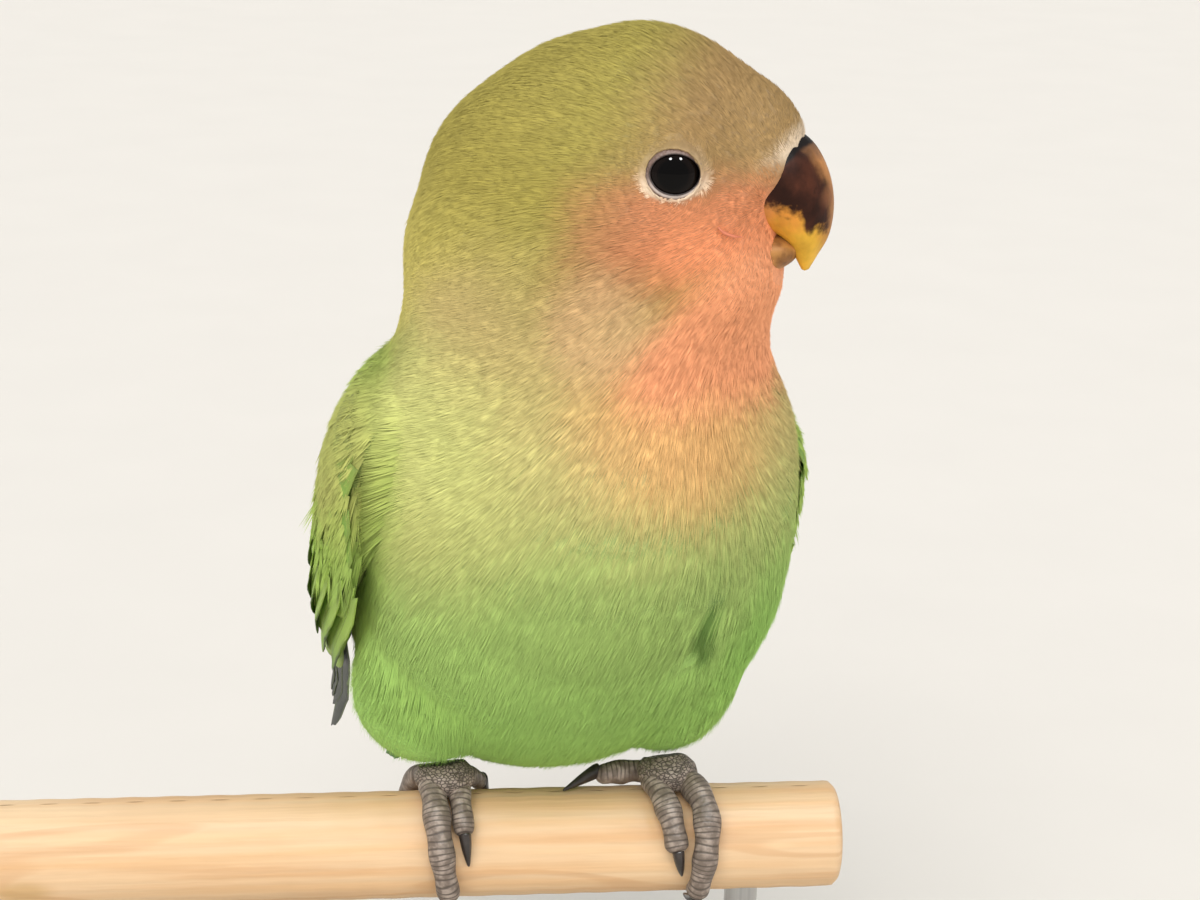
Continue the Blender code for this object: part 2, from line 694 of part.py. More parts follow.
def build_leg(name, wing, flesh, finish):
    """Thigh, the short bare shank with its pad, and four toes: two to the front and two to the back."""
    at, radii = THIGHS[name]
    thigh_at = UNDER_BIRD + Vector(at) * MM
    thigh = cut(cut(ellipsoid(thigh_at, Vector(radii) * MM), grown(flesh)), grown(wing.data))
    show(f"thigh_{name}", thigh, finish["thigh"])
    pad_at = UNDER_BIRD + Vector((FOOT_X[name], 0, PERCH_RADIUS + GAP + PAD_RADII[2]))
    shank = tube([pad_at, pad_at.lerp(thigh_at, 0.5), thigh_at], [TARSUS_RADIUS] * 3)
    leg = joined([ellipsoid(pad_at, PAD_RADII, subdivisions=2), shank])
    for other in (flesh, thigh, perch_form()):
        leg = cut(leg, grown(other))
    show(f"leg_{name}", leg, finish["skin"])
    neighbours = [leg, thigh, flesh]
    for toe in TOES[name]:
        build_toe(name, toe, neighbours, finish)


def cylinder(radius, depth, matrix, segments=32):
    bm = bmesh.new()
    bmesh.ops.create_cone(bm, cap_ends=True, segments=segments, radius1=radius, radius2=radius, depth=depth)
    bmesh.ops.transform(bm, matrix=matrix, verts=bm.verts)
    return mesh_of(bm)


def perch_form():
    turn = Matrix.Rotation(math.radians(90), 4, "Y")
    at = Vector((0, PERCH_Y, PERCH_Z))
    return cylinder(PERCH_RADIUS, PERCH_LENGTH, Matrix.Translation(at) @ turn, segments=32)


def build_stand(wood, plate, steel):
    rounding = {"width": PERCH_EDGE, "segments": 1, "angle_limit": math.radians(60)}
    perch = modified(perch_form(), ("BEVEL", rounding))
    bm = bmesh.new()
    bmesh.ops.create_cube(bm, size=1.0)
    bmesh.ops.scale(bm, vec=(BASE_WIDTH, BASE_DEPTH, BASE_THICKNESS), verts=bm.verts)
    bmesh.ops.translate(bm, vec=(0, 0, BASE_THICKNESS / 2), verts=bm.verts)
    upright = [e for e in bm.edges if abs(e.verts[0].co.z - e.verts[1].co.z) > BASE_THICKNESS / 2]
    bmesh.ops.bevel(bm, geom=upright, offset=BASE_CORNER, segments=6, profile=0.5, affect="EDGES")
    top = [e for e in bm.edges if all(v.co.z > BASE_THICKNESS * 0.9 for v in e.verts)]
    bmesh.ops.bevel(bm, geom=top, offset=BASE_EDGE, segments=2, profile=0.5, affect="EDGES")
    base = mesh_of(bm)
    low, high = BASE_THICKNESS - ROD_INSET, PERCH_Z - PERCH_RADIUS + ROD_INSET
    for name, side in SIDE.items():
        x = side * ROD_SPREAD
        hole = Matrix.Translation((x, PERCH_Y, (low + high) / 2))
        drill = cylinder(ROD_RADIUS + GAP, high - low + 2 * GAP, hole, segments=24)
        perch, base = cut(perch, drill), cut(base, drill)
        rod = cylinder(ROD_RADIUS, high - low, hole, segments=24)
        show(f"stand_rod_{name}", rod, steel)
    show("perch", perch, wood)
    show("stand_base", base, plate)


def main():
    clear_scene()
    plumage = material("plumage_green", (0.36, 0.50, 0.13), 0.8)
    head_plumage = material("plumage_head", (0.52, 0.46, 0.17), 0.8)
    neck_plumage = material("plumage_neck", (0.66, 0.48, 0.26), 0.8)
    wing_plumage = material("plumage_wing", (0.20, 0.36, 0.08), 0.7)
    tail_plumage = material("plumage_tail", (0.16, 0.34, 0.12), 0.7)
    horn = {
        "bill": material("bill_horn", (0.16, 0.08, 0.05), 0.35),
        "eye": material("eye", (0.01, 0.01, 0.01), 0.05),
    }
    foot = {
        "skin": material("foot_skin", (0.30, 0.25, 0.21), 0.6),
        "claw": material("claw_horn", (0.04, 0.03, 0.03), 0.4),
        "thigh": plumage,
    }
    flesh = flesh_clay()
    stand_off = grown(flesh)
    coarse = modified(flesh, ("DECIMATE", {"ratio": SEAT_TRIANGLES / len(flesh.polygons)}))
    seat = grown(coarse, SEAT_GAP)
    head, neck, torso = part_flesh(flesh)
    build_head(head, flesh, stand_off, horn, head_plumage)
    show("neck", neck, neck_plumage)
    show("torso", torso, plumage)
    for name in SIDE:
        wing = build_wing(name, seat, wing_plumage)
        build_leg(name, wing, flesh, foot)
    build_tail(seat, tail_plumage)
    wood = material("perch_wood", (0.80, 0.58, 0.34), 0.6)
    plate = material("stand_paint", (0.62, 0.60, 0.56), 0.5)
    steel = material("rod_steel", (0.6, 0.6, 0.6), 0.3, 1.0)
    build_stand(wood, plate, steel)


main()
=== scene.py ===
"""The looks of a young peach-faced lovebird that sits on a cut dowel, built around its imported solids.

One skin takes the place of head, neck, torso and thighs. Over it grows a coat of small tufts, each a fan
of thin closed strands that starts on the skin and follows its lie. Wings and tail carry their own vanes.
Lengths are in millimetres and multiplied by MM. The bird faces -Y and +Z is up, as in the solids.
"""

import json
import math
import random

import bmesh
import bpy
import numpy as np
from bpy.props import FloatProperty, FloatVectorProperty, IntProperty, PointerProperty
from mathutils import Matrix, Vector
from mathutils.bvhtree import BVHTree

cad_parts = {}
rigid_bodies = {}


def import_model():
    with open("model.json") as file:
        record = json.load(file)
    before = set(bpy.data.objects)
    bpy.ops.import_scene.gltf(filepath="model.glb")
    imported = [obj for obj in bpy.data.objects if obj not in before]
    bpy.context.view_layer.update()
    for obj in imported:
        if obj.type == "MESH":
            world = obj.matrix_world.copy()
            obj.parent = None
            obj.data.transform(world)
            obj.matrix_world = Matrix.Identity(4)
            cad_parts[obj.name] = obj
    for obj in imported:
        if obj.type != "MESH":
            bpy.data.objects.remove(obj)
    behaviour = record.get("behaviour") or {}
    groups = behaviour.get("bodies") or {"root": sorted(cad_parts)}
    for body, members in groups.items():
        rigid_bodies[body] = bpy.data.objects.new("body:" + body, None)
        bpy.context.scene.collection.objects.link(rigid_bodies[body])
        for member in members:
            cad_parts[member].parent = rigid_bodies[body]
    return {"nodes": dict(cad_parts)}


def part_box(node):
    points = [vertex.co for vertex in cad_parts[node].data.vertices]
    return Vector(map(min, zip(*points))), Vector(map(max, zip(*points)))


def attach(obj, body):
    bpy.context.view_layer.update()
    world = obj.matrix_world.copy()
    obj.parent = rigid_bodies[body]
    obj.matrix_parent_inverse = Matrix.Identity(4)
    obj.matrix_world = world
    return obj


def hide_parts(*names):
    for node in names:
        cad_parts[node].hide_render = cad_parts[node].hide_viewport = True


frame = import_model()

bl_info = {
    "name": "Perched lovebird",
    "version": (1, 0, 0),
    "blender": (4, 5, 0),
    "location": "View3D > Sidebar > Lovebird",
    "description": "Builds skin, coat, feathers, bill, eyes and feet of a young lovebird on its dowel",
    "category": "Object",
}

MM = 0.001
BODY = "root"
SIDES = {"right": -1.0, "left": 1.0}

# Places and directions that the solids share
PERCH_LOW, PERCH_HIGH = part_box("perch")
PERCH_MIDDLE = (PERCH_LOW + PERCH_HIGH) / 2
PERCH_RADIUS = (PERCH_HIGH.z - PERCH_LOW.z) / 2
UNDER_BIRD = PERCH_MIDDLE + Vector((18 * MM, 0, 0))
BODY_YAW = math.radians(10)
BODY_RISE = math.radians(48)
BODY_CENTRE = UNDER_BIRD + Vector((-1.4, 8.0, 35.5)) * MM
HEAD_YAW = math.radians(-20)
HEAD_CENTRE = UNDER_BIRD + Vector((1.6, -9.0, 79.4)) * MM
YAW = Matrix.Rotation(BODY_YAW, 3, "Z")
ALONG = YAW @ Vector((0, -math.cos(BODY_RISE), math.sin(BODY_RISE)))
BACK = YAW @ Vector((0, math.sin(BODY_RISE), math.cos(BODY_RISE)))
LEFT = YAW @ Vector((1, 0, 0))
HEAD_TURN = Matrix.Rotation(HEAD_YAW, 3, "Z")
FORWARDS = HEAD_TURN @ Vector((1, 0, 0))
SIDEWAYS = HEAD_TURN @ Vector((0, 1, 0))
UP = Vector((0, 0, 1))


def body_point(along, left, back):
    """A place given from the body's middle in millimetres: towards the breast, left and back."""
    return BODY_CENTRE + (along * ALONG + left * LEFT + back * BACK) * MM


def head_point(forwards, left, up):
    """A place given from the head's middle in millimetres."""
    return HEAD_CENTRE + (forwards * FORWARDS + left * SIDEWAYS + up * UP) * MM


FLESH = ("head", "neck", "torso", "thigh_right", "thigh_left")
# Creases of the melted skin that are smoothed: a height at the neck, and a place over each thigh
NECK_HEIGHT, NECK_REACH = 61.0, 8.0
THIGH_CREASE, THIGH_REACH = (18, -7, 24), 9.0
# Where the lie of the coat turns in front of a wing: a place, how wide in millimetres, and the way added
SHOULDER_LIES = (
    (UNDER_BIRD + Vector((-20, -12, 55)) * MM, 13, (-0.7, 0.25, 0.35)),
    (UNDER_BIRD + Vector((22, -8, 52)) * MM, 11, (0.5, 0.35, 0.1)),
)
BILL_ROOT = (17.0, 0.0, 3.0)
EYE_LOOK = (0.23, 0.97, 0.06)

# Rows of the wing's sheet: distance along the body, half width, depth, shift towards the back
WING_SHEET = (
    (-66, 18.0, 11.5, 5.5),
    (-42, 19.4, 14.5, 3.6),
    (-26, 22.0, 17.2, 2.2),
    (-10, 25.2, 19.6, 0.8),
    (8, 26.2, 20.6, 0.0),
    (20, 26.0, 20.0, 0.0),
    (30, 22.0, 17.5, 0.0),
)
SHELL_FRONT, SHELL_REAR = 29.0, -16.0
SHELL_LOW, SHELL_HIGH = math.radians(-14), math.radians(80)
# Each tier: how many, root and its step, length and its step, angles at root and tip, half width,
# height over the sheet at root and tip with their steps, how far the hind edge is sunk, and how
# pointed the feathers are where that isn't the usual
WING_TIERS = {
    "primaries": {
        "count": 10, "root": (-8, 0.0), "length": (53, -1.75),
        "root_angles": (-12, 22), "tip_angles": (4, 38),
        "half_width": 3.0, "height": (0.7, 0.1), "tip_height": (-0.9, 0.33), "sink": 0.3,
    },
    "secondaries": {
        "count": 11, "root": (-5, 0.1), "length": (36, -0.7),
        "root_angles": (2, 80), "tip_angles": (12, 84),
        "half_width": 3.7, "height": (1.2, 0.06), "tip_height": (1.9, 0.1), "sink": 0.4,
    },
    "primary_coverts": {
        "count": 6, "root": (-2, 0.3), "length": (24, -0.6),
        "root_angles": (-14, 10), "tip_angles": (-9, 14),
        "half_width": 2.5, "height": (1.3, 0.05), "tip_height": (1.5, 0.08), "sink": 0.3,
    },
    "greater_coverts": {
        "count": 13, "root": (1, -0.05), "length": (18, -0.2),
        "root_angles": (-12, 87), "tip_angles": (-10, 86),
        "half_width": 3.2, "height": (1.5, 0.04), "tip_height": (2.1, 0.05), "sink": 0.35,
    },
    "edge_feathers": {
        "count": 7, "root": (7, 0.0), "length": (26, -0.5),
        "root_angles": (-20, 13), "tip_angles": (-17, 15),
        "half_width": 1.35, "height": (2.3, 0.0), "tip_height": (2.8, -0.17), "sink": 0.7, "point": 1.5,
    },
    "median_coverts": {
        "count": 13, "root": (8, -0.05), "length": (13, -0.1),
        "root_angles": (-12, 88), "tip_angles": (-10, 86),
        "half_width": 3.1, "height": (1.5, 0.03), "tip_height": (2.25, 0.04), "sink": 0.35,
    },
    "lesser_coverts": {
        "count": 14, "root": (13.5, -0.05), "length": (10.5, -0.1),
        "root_angles": (-10, 88), "tip_angles": (-9, 86),
        "half_width": 2.8, "height": (1.5, 0.02), "tip_height": (2.3, 0.03), "sink": 0.3,
    },
    "upper_lesser_coverts": {
        "count": 14, "root": (18, -0.05), "length": (9.5, -0.1),
        "root_angles": (-7, 80), "tip_angles": (-7, 80),
        "half_width": 2.7, "height": (1.2, 0.02), "tip_height": (2.3, 0.03), "sink": 0.3,
    },
    "marginal_coverts": {
        "count": 14, "root": (22.5, -0.05), "length": (9.0, -0.1),
        "root_angles": (-2, 80), "tip_angles": (-3, 80),
        "half_width": 2.5, "height": (0.6, 0.02), "tip_height": (2.2, 0.03), "sink": 0.3,
    },
    "scapulars": {
        "count": 7, "root": (25, -0.3), "length": (22, 0.4),
        "root_angles": (64, 92), "tip_angles": (66, 90),
        "half_width": 3.4, "height": (0.6, 0.05), "tip_height": (2.9, 0.02), "sink": 0.2,
    },
}
TAIL_ROOT = -35.0
TAIL_LIFT = math.radians(6)
# Each fan: how many, root, length of the middle one, how much shorter the outer ones are, half the
# fan's angle, half its width at the root, half width, height of the middle ones, step and tilt
TAIL_TIERS = {
    "tail_feathers": {
        "count": 12, "root": 2, "length": 43, "shorter": 11, "fan": 7, "spread": 4.2,
        "half_width": 2.9, "height": 1.6, "step": -0.6, "tilt": 0.12,
    },
    "upper_tail_coverts": {
        "count": 8, "root": -4, "length": 25, "shorter": 6, "fan": 9, "spread": 4.8,
        "half_width": 3.2, "height": 3.2, "step": -0.4, "tilt": 0.12,
    },
    "under_tail_coverts": {
        "count": 8, "root": -4, "length": 28, "shorter": 6, "fan": 7, "spread": 4.6,
        "half_width": 3.2, "height": -3.6, "step": 0.4, "tilt": -0.12,
    },
}

# Bill: forwards and up of the ridge, forwards and up of the cutting edge, half width
UPPER_BILL = (
    (11.0, 7.0, 9.6, 1.2, 3.6),
    (14.0, 8.8, 11.6, 0.9, 5.6),
    (16.4, 9.4, 13.0, 0.6, 6.2),
    (19.8, 9.6, 15.2, 0.1, 6.3),
    (22.4, 8.2, 16.8, -0.6, 5.8),
    (24.2, 5.2, 18.2, -1.3, 4.9),
    (24.9, 1.9, 19.4, -1.9, 3.9),
    (24.6, -1.4, 20.4, -2.8, 2.7),
    (23.4, -3.9, 21.2, -4.3, 1.4),
    (22.5, -5.6, 21.9, -5.6, 0.2),
)
LOWER_BILL = (
    (12.0, -2.6, 12.0, -5.8, 3.0),
    (14.0, -2.0, 14.0, -6.3, 4.2),
    (16.5, -1.6, 16.8, -6.3, 4.3),
    (18.3, -1.4, 19.2, -5.7, 3.8),
    (19.7, -1.6, 20.9, -4.6, 3.1),
    (20.7, -2.2, 21.7, -3.3, 1.8),
    (21.2, -2.5, 21.9, -2.8, 0.3),
)
NOSTRIL = (21.9, 2.6, 8.3)
# The fold at the mouth's corner: forwards and up, from behind to the bill
GAPE_LINE = ((14.1, 0.6), (14.4, 0.15), (14.9, -0.25), (15.6, -0.6), (16.3, -0.78))
GAPE_STEPS = 24

# Toes over the dowel: angle from its top towards the front, place along it, radius. Then the claw's tip.
TOES = {
    "right": {
        "outer_front": (
            ((-4, -15.0, 1.5), (6, -15.7, 1.6), (60, -15.2, 1.55), (118, -13.9, 1.25)),
            (147, -13.5),
        ),
        "inner_front": (
            ((-4, -13.2, 1.3), (6, -12.7, 1.3), (34, -12.5, 1.3), (60, -12.2, 1.1)),
            (89, -11.7),
        ),
        "inner_back": (
            ((-4, -13.4, 1.3), (-16, -12.6, 1.3), (-34, -10.8, 1.25), (-50, -9.2, 1.05)),
            (-75, -8.4),
        ),
        "outer_back": (
            ((-6, -15.0, 1.5), (-18, -15.6, 1.5), (-50, -17.6, 1.4), (-88, -18.2, 1.15)),
            (-117, -18.0),
        ),
    },
    "left": {
        "outer_front": (
            ((-4, 13.0, 1.5), (4, 14.0, 1.6), (48, 16.3, 1.6), (122, 15.3, 1.3)),
            (150, 14.4),
        ),
        "inner_front": (
            ((-4, 11.6, 1.5), (8, 10.6, 1.5), (46, 12.0, 1.5), (78, 12.8, 1.3)),
            (107, 13.6),
        ),
        "inner_back": (
            ((-8, 11.6, 1.4), (-14, 9.6, 1.45), (-13, 6.6, 1.4), (-11, 3.9, 1.2)),
            (6, -0.2),
        ),
        "outer_back": (
            ((-8, 12.6, 1.4), (-20, 13.8, 1.5), (-52, 15.6, 1.4), (-90, 16.2, 1.15)),
            (-119, 16.0),
        ),
    },
}
CLAW_RADIUS, CLAW_TIP = 0.85, 0.14
SCUTE = 0.62
# How far toes and claws stay off the dowel, and in how many steps a toe's length is measured
TOE_GAP = 0.3
TOE_STEPS = 60

# Where the skin swells or sinks: a centre, how wide and how far, in millimetres
SKIN_PUSHES = (
    (HEAD_CENTRE + (-13.6 * FORWARDS + 15.0 * UP) * MM, 9.0, -1.3),
    (HEAD_CENTRE + (18.0 * FORWARDS + 15.5 * UP) * MM, 7.0, 0.9),
    (head_point(18.4, -5.6, 5.6), 3.0, 1.5),
    (head_point(18.4, 5.6, 5.6), 3.0, 1.5),
    (UNDER_BIRD + Vector((23, -16, 66)) * MM, 8.0, 0.6),
    (UNDER_BIRD + Vector((-20, -10, 55)) * MM, 9.0, 1.8),
    (UNDER_BIRD + Vector((-19, -9, 13)) * MM, 9.0, 1.3),
    (UNDER_BIRD + Vector((-22, -9, 45)) * MM, 8.0, 1.5),
    (UNDER_BIRD + Vector((-18, -8, 27)) * MM, 7.0, 2.0),
    (UNDER_BIRD + Vector((-12, -12, 22)) * MM, 7.0, 1.2),
    (UNDER_BIRD + Vector((-17, -8, 19)) * MM, 5.0, -1.0),
    (UNDER_BIRD + Vector((22.5, -6, 53)) * MM, 7.0, 2.4),
    (UNDER_BIRD + Vector((22, -8, 43)) * MM, 8.0, 2.0),
    (UNDER_BIRD + Vector((20.5, -5, 30)) * MM, 9.0, 3.0),
    (UNDER_BIRD + Vector((13.4, -16, 31.5)) * MM, 2.6, -1.8),
    (UNDER_BIRD + Vector((18, -5, 19)) * MM, 7.0, 1.8),
)

# Camera: its place, and how far it looks to the right, down and leans
CAMERA_PLACE = UNDER_BIRD + Vector((-33.8, -284.6, 136.6)) * MM
CAMERA_YAW = math.radians(7.4)
CAMERA_PITCH = math.radians(17.0)
CAMERA_ROLL = math.radians(1.7)
SENSOR_WIDTH = 36.0
# The lamps that spark in the eyes: how far they stand from the eye, their size and their power
GLINT_FAR, GLINT_SIZE, GLINT_POWER = 0.6, 0.085, 2.3


def rgb(red, green, blue):
    """A colour as Blender keeps it, from the usual values out of 255."""
    values = [value / 255 for value in (red, green, blue)]
    return tuple(v / 12.92 if v <= 0.04045 else ((v + 0.055) / 1.055) ** 2.4 for v in values)


def colour(name, text, *values):
    """A colour that the user can change, from the usual values out of 255."""
    shade = rgb(*values)
    return FloatVectorProperty(name=name, description=text, subtype="COLOR", min=0, max=1, default=shade)


def length(name, text, value):
    """A length that the user can change, from millimetres."""
    return FloatProperty(name=name, description=text, default=value * MM, unit="LENGTH", precision=5)


class CoatValues(bpy.types.PropertyGroup):
    """Sizes of the coat"""

    face_length: length("Face tufts", "Length of the tufts round eye and bill", 1.3)
    head_length: length("Head tufts", "Length of the tufts on crown and nape", 2.7)
    body_length: length("Body tufts", "Length of the tufts on the belly", 7.0)
    head_depth: length("Head depth", "How far the skin of the head lies under the tips of its coat", 0.75)
    body_depth: length("Body depth", "How far the skin of the body lies under the tips of its coat", 1.35)
    strand_width: length("Strand width", "Width of one strand of a tuft on the body", 0.25)
    seed: IntProperty(name="Seed", description="Which random spread the tufts have", default=7, min=0)


class Colours(bpy.types.PropertyGroup):
    """Colours of plumage and horn"""

    crown: colour("Crown", "Olive of crown and nape", 168, 155, 75)
    forehead: colour("Forehead", "Pinkish tan of the forehead", 168, 136, 86)
    rim: colour("Bill rim", "Pale feathers that border the bill", 240, 218, 190)
    cheek: colour("Cheek", "Peach of the cheek", 206, 136, 94)
    gape: colour("Gape", "Salmon below the eye and round the mouth", 255, 161, 112)
    throat: colour("Throat", "Salmon of the throat", 255, 172, 124)
    breast: colour("Breast", "Peach yellow of the upper breast", 232, 180, 116)
    neck: colour("Neck", "Olive tan of the sides of the neck", 206, 186, 122)
    shoulder: colour("Shoulder", "Yellow green in front of the wings", 208, 210, 130)
    belly: colour("Belly", "Fresh green of the belly", 170, 194, 112)
    flank: colour("Flank", "Green of flanks and lower belly", 162, 208, 106)
    mantle: colour("Mantle", "Green of the back", 128, 150, 66)
    rump: colour("Rump", "Blue of the rump", 74, 132, 186)
    eye_ring: colour("Eye ring", "Cream feathers round the eye", 246, 222, 192)
    wing: colour("Wing", "Green of the wing coverts", 166, 199, 89)
    wing_low: colour("Wing feathers", "Deeper green of the flight feathers", 134, 172, 74)
    flight: colour("Flight webs", "Dark webs of the flight feathers", 30, 42, 30)
    tail: colour("Tail", "Green of the tail", 98, 140, 72)
    tail_patch: colour("Tail patch", "Orange patch on the tail's hidden webs", 214, 104, 60)
    lid: colour("Lid", "Grey mauve of the bare lid", 138, 115, 105)
    bill_dark: colour("Dark horn", "Dark brown of the bill's sides", 44, 21, 13)
    bill_ridge: colour("Ridge horn", "Tan of the bill's ridge", 190, 132, 78)
    bill_edge: colour("Edge horn", "Yellow of the cutting edge", 226, 176, 62)
    foot: colour("Foot", "Grey brown of toes and shanks", 134, 120, 108)
    scute: colour("Scute edge", "Pale middle of the scutes", 176, 160, 148)
    wood: colour("Dowel", "Pale softwood", 224, 190, 150)
    plate: colour("Base", "Warm grey paint of the base", 176, 172, 164)
    floor: colour("Floor", "Pale floor", 226, 222, 216)


class StandValues(bpy.types.PropertyGroup):
    """Sizes of perch, base and camera"""

    edge: length("Base edge", "Rounding of the base's top edge", 1.2)
    corner: length("Base corner", "Rounding of the base's corners", 12.0)
    lens: FloatProperty(
        name="Lens",
        description="Focal length on a sensor 36 mm wide",
        default=78.6,
        unit="CAMERA",
    )


class Flow:
    """The output of a node, so that shader maths reads as a sum."""

    def __init__(self, finish, socket):
        self.finish = finish
        self.socket = socket

    def maths(self, operation, *values):
        return self.finish.node("ShaderNodeMath", {"operation": operation}, values)

    def vector(self, operation, other=None, output=0):
        return self.finish.node("ShaderNodeVectorMath", {"operation": operation}, (self, other), output)

    def __add__(self, other):
        return self.maths("ADD", self, other)

    def __sub__(self, other):
        return self.maths("SUBTRACT", self, other)

    def __rsub__(self, other):
        return self.maths("SUBTRACT", other, self)

    def __mul__(self, other):
        return self.maths("MULTIPLY", self, other)

    def __abs__(self):
        return self.maths("ABSOLUTE", self)

    __radd__ = __add__
    __rmul__ = __mul__

    def up_to(self, other):
        return self.maths("MINIMUM", self, other)

    def at_least(self, other):
        return self.maths("MAXIMUM", self, other)

    def fraction(self):
        return self.maths("FRACT", self)

    def wave(self):
        return self.maths("SINE", self)

    def square_root(self):
        return self.maths("SQRT", self)

    def less(self, spot):
        return self.vector("SUBTRACT", tuple(spot))

    def stretched(self, factors):
        return self.vector("MULTIPLY", tuple(factors))

    def along(self, axis):
        return self.vector("DOT_PRODUCT", tuple(axis), "Value")

    def size(self):
        return self.vector("LENGTH", None, "Value")

    def rise(self, low, high):
        """0 at low and 1 at high, with a smooth step between them. High may be the lower number."""
        settings = {"interpolation_type": "SMOOTHSTEP"}
        return self.finish.node("ShaderNodeMapRange", settings, (self, low, high, 0.0, 1.0))


class Finish:
    """A material on a Principled shader, with one method that makes any node."""

    def __init__(self, name, **constants):
        self.material = bpy.data.materials.new(name)
        self.material.use_nodes = True
        self.tree = self.material.node_tree
        self.shader = self.tree.nodes["Principled BSDF"]
        for key, value in constants.items():
            self.shader.inputs[key.replace("_", " ").title().replace("Ior", "IOR")].default_value = value

    def node(self, kind, settings=None, values=(), output=0):
        made = self.tree.nodes.new(kind)
        for key, value in (settings or {}).items():
            setattr(made, key, value)
        pairs = values.items() if isinstance(values, dict) else enumerate(values)
        for key, value in pairs:
            if isinstance(value, Flow):
                self.tree.links.new(value.socket, made.inputs[key])
            elif value is not None:
                made.inputs[key].default_value = value
        return Flow(self, made.outputs[output])

    def place(self):
        return self.node("ShaderNodeTexCoord", output="Object")

    def uv(self, name):
        return self.node("ShaderNodeUVMap", {"uv_map": name})

    def attribute(self, name, output="Fac"):
        return self.node("ShaderNodeAttribute", {"attribute_name": name}, output=output)

    def part(self, flow, axis):
        return self.node("ShaderNodeSeparateXYZ", None, (flow,), axis)

    def noise(self, place, scale, detail=2.0, stretch=(1, 1, 1)):
        moved = place.stretched(stretch)
        return self.node("ShaderNodeTexNoise", None, {"Vector": moved, "Scale": scale, "Detail": detail})

    def mix(self, factor, low, high, blend="MIX"):
        """A colour between two, each a Flow or a plain colour."""
        shades = [shade if isinstance(shade, Flow) else (*shade, 1.0) for shade in (low, high)]
        settings = {"data_type": "RGBA", "blend_type": blend}
        return self.node("ShaderNodeMix", settings, {0: factor, 6: shades[0], 7: shades[1]}, 2)

    def lit(self, shade, factor):
        """A colour made darker or lighter by a number that varies."""
        grey = self.node("ShaderNodeCombineColor", None, (factor, factor, factor))
        return self.mix(1.0, shade, grey, "MULTIPLY")

    def colour(self, flow):
        self.tree.links.new(flow.socket, self.shader.inputs["Base Color"])

    def roughness(self, flow):
        self.tree.links.new(flow.socket, self.shader.inputs["Roughness"])

    def bump(self, height, distance):
        values = {"Height": height, "Distance": distance, "Strength": 1.0}
        bumped = self.node("ShaderNodeBump", None, values)
        self.tree.links.new(bumped.socket, self.shader.inputs["Normal"])


def show(name, mesh, finish, slot, *nodes):
    """A finished piece, which rides on the one body and may stand for some of the solids."""
    mesh.name = name
    mesh.materials.clear()
    mesh.materials.append(finish if isinstance(finish, bpy.types.Material) else finish.material)
    mesh.shade_smooth()
    made = bpy.data.objects.new(name, mesh)
    bpy.context.scene.collection.objects.link(made)
    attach(made, BODY)
    if nodes:
        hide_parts(*nodes)
    return made


def mesh_of(bm, close=True):
    """The mesh of a bmesh, with its seams closed and its faces pointing out."""
    if close:
        bmesh.ops.remove_doubles(bm, verts=bm.verts, dist=1e-6)
    bmesh.ops.recalc_face_normals(bm, faces=bm.faces)
    made = bpy.data.meshes.new("shape")
    bm.to_mesh(made)
    bm.free()
    return made


def modified(mesh, *modifiers):
    """A new mesh: this one after the given modifiers, each a type and its settings."""
    scratch = bpy.data.objects.new("scratch", mesh)
    bpy.context.scene.collection.objects.link(scratch)
    for kind, settings in modifiers:
        added = scratch.modifiers.new(kind, kind)
        for key, value in settings.items():
            setattr(added, key, value)
    graph = bpy.context.evaluated_depsgraph_get()
    made = bpy.data.meshes.new_from_object(scratch.evaluated_get(graph), depsgraph=graph)
    bpy.data.objects.remove(scratch)
    return made


def sheet(bm, columns, rows, place, uv_name="Vane", vary=0.0):
    """A grid of faces whose point at u, v (each 0 to 1) goes to place(u, v). It keeps u, v as its UVs."""
    uv = bm.loops.layers.uv.get(uv_name) or bm.loops.layers.uv.new(uv_name)
    mark = bm.verts.layers.float.get("vary") or bm.verts.layers.float.new("vary")
    made = bmesh.ops.create_grid(bm, x_segments=columns, y_segments=rows, size=1.0)["verts"]
    spots = {vert: ((vert.co.x + 1) / 2, (vert.co.y + 1) / 2) for vert in made}
    for face in {face for vert in made for face in vert.link_faces}:
        for loop in face.loops:
            loop[uv].uv = spots[loop.vert]
    for vert, (u, v) in spots.items():
        vert.co = place(u, v)
        vert[mark] = vary


def opening(v):
    """1 along a tube and 0 at its two ends, which it closes to a point."""
    return 0.0 if v in (0.0, 1.0) else 1.0


def swollen(name, far):
    """A copy of a solid, as a bmesh, whose surface stands a little further out."""
    bm = bmesh.new()
    bm.from_mesh(frame["nodes"][name].data)
    bmesh.ops.remove_doubles(bm, verts=bm.verts, dist=1e-6)
    bm.normal_update()
    outwards = [vert.normal.copy() for vert in bm.verts]
    for vert, normal in zip(bm.verts, outwards):
        vert.co += normal * far
    return bm


def melted(mesh, voxel, rounds):
    """One smooth surface round all that is in a mesh."""
    return modified(
        mesh,
        ("REMESH", {"mode": "VOXEL", "voxel_size": voxel}),
        ("SMOOTH", {"factor": 0.5, "iterations": rounds}),
    )


def between(rows, at):
    """Sizes read between the rows of a table, which run in order of their first column."""
    if at <= rows[0][0]:
        return rows[0][1:]
    for low, high in zip(rows, rows[1:]):
        if at <= high[0]:
            t = (at - low[0]) / (high[0] - low[0])
            return tuple(a + (b - a) * t for a, b in zip(low[1:], high[1:]))
    return rows[-1][1:]


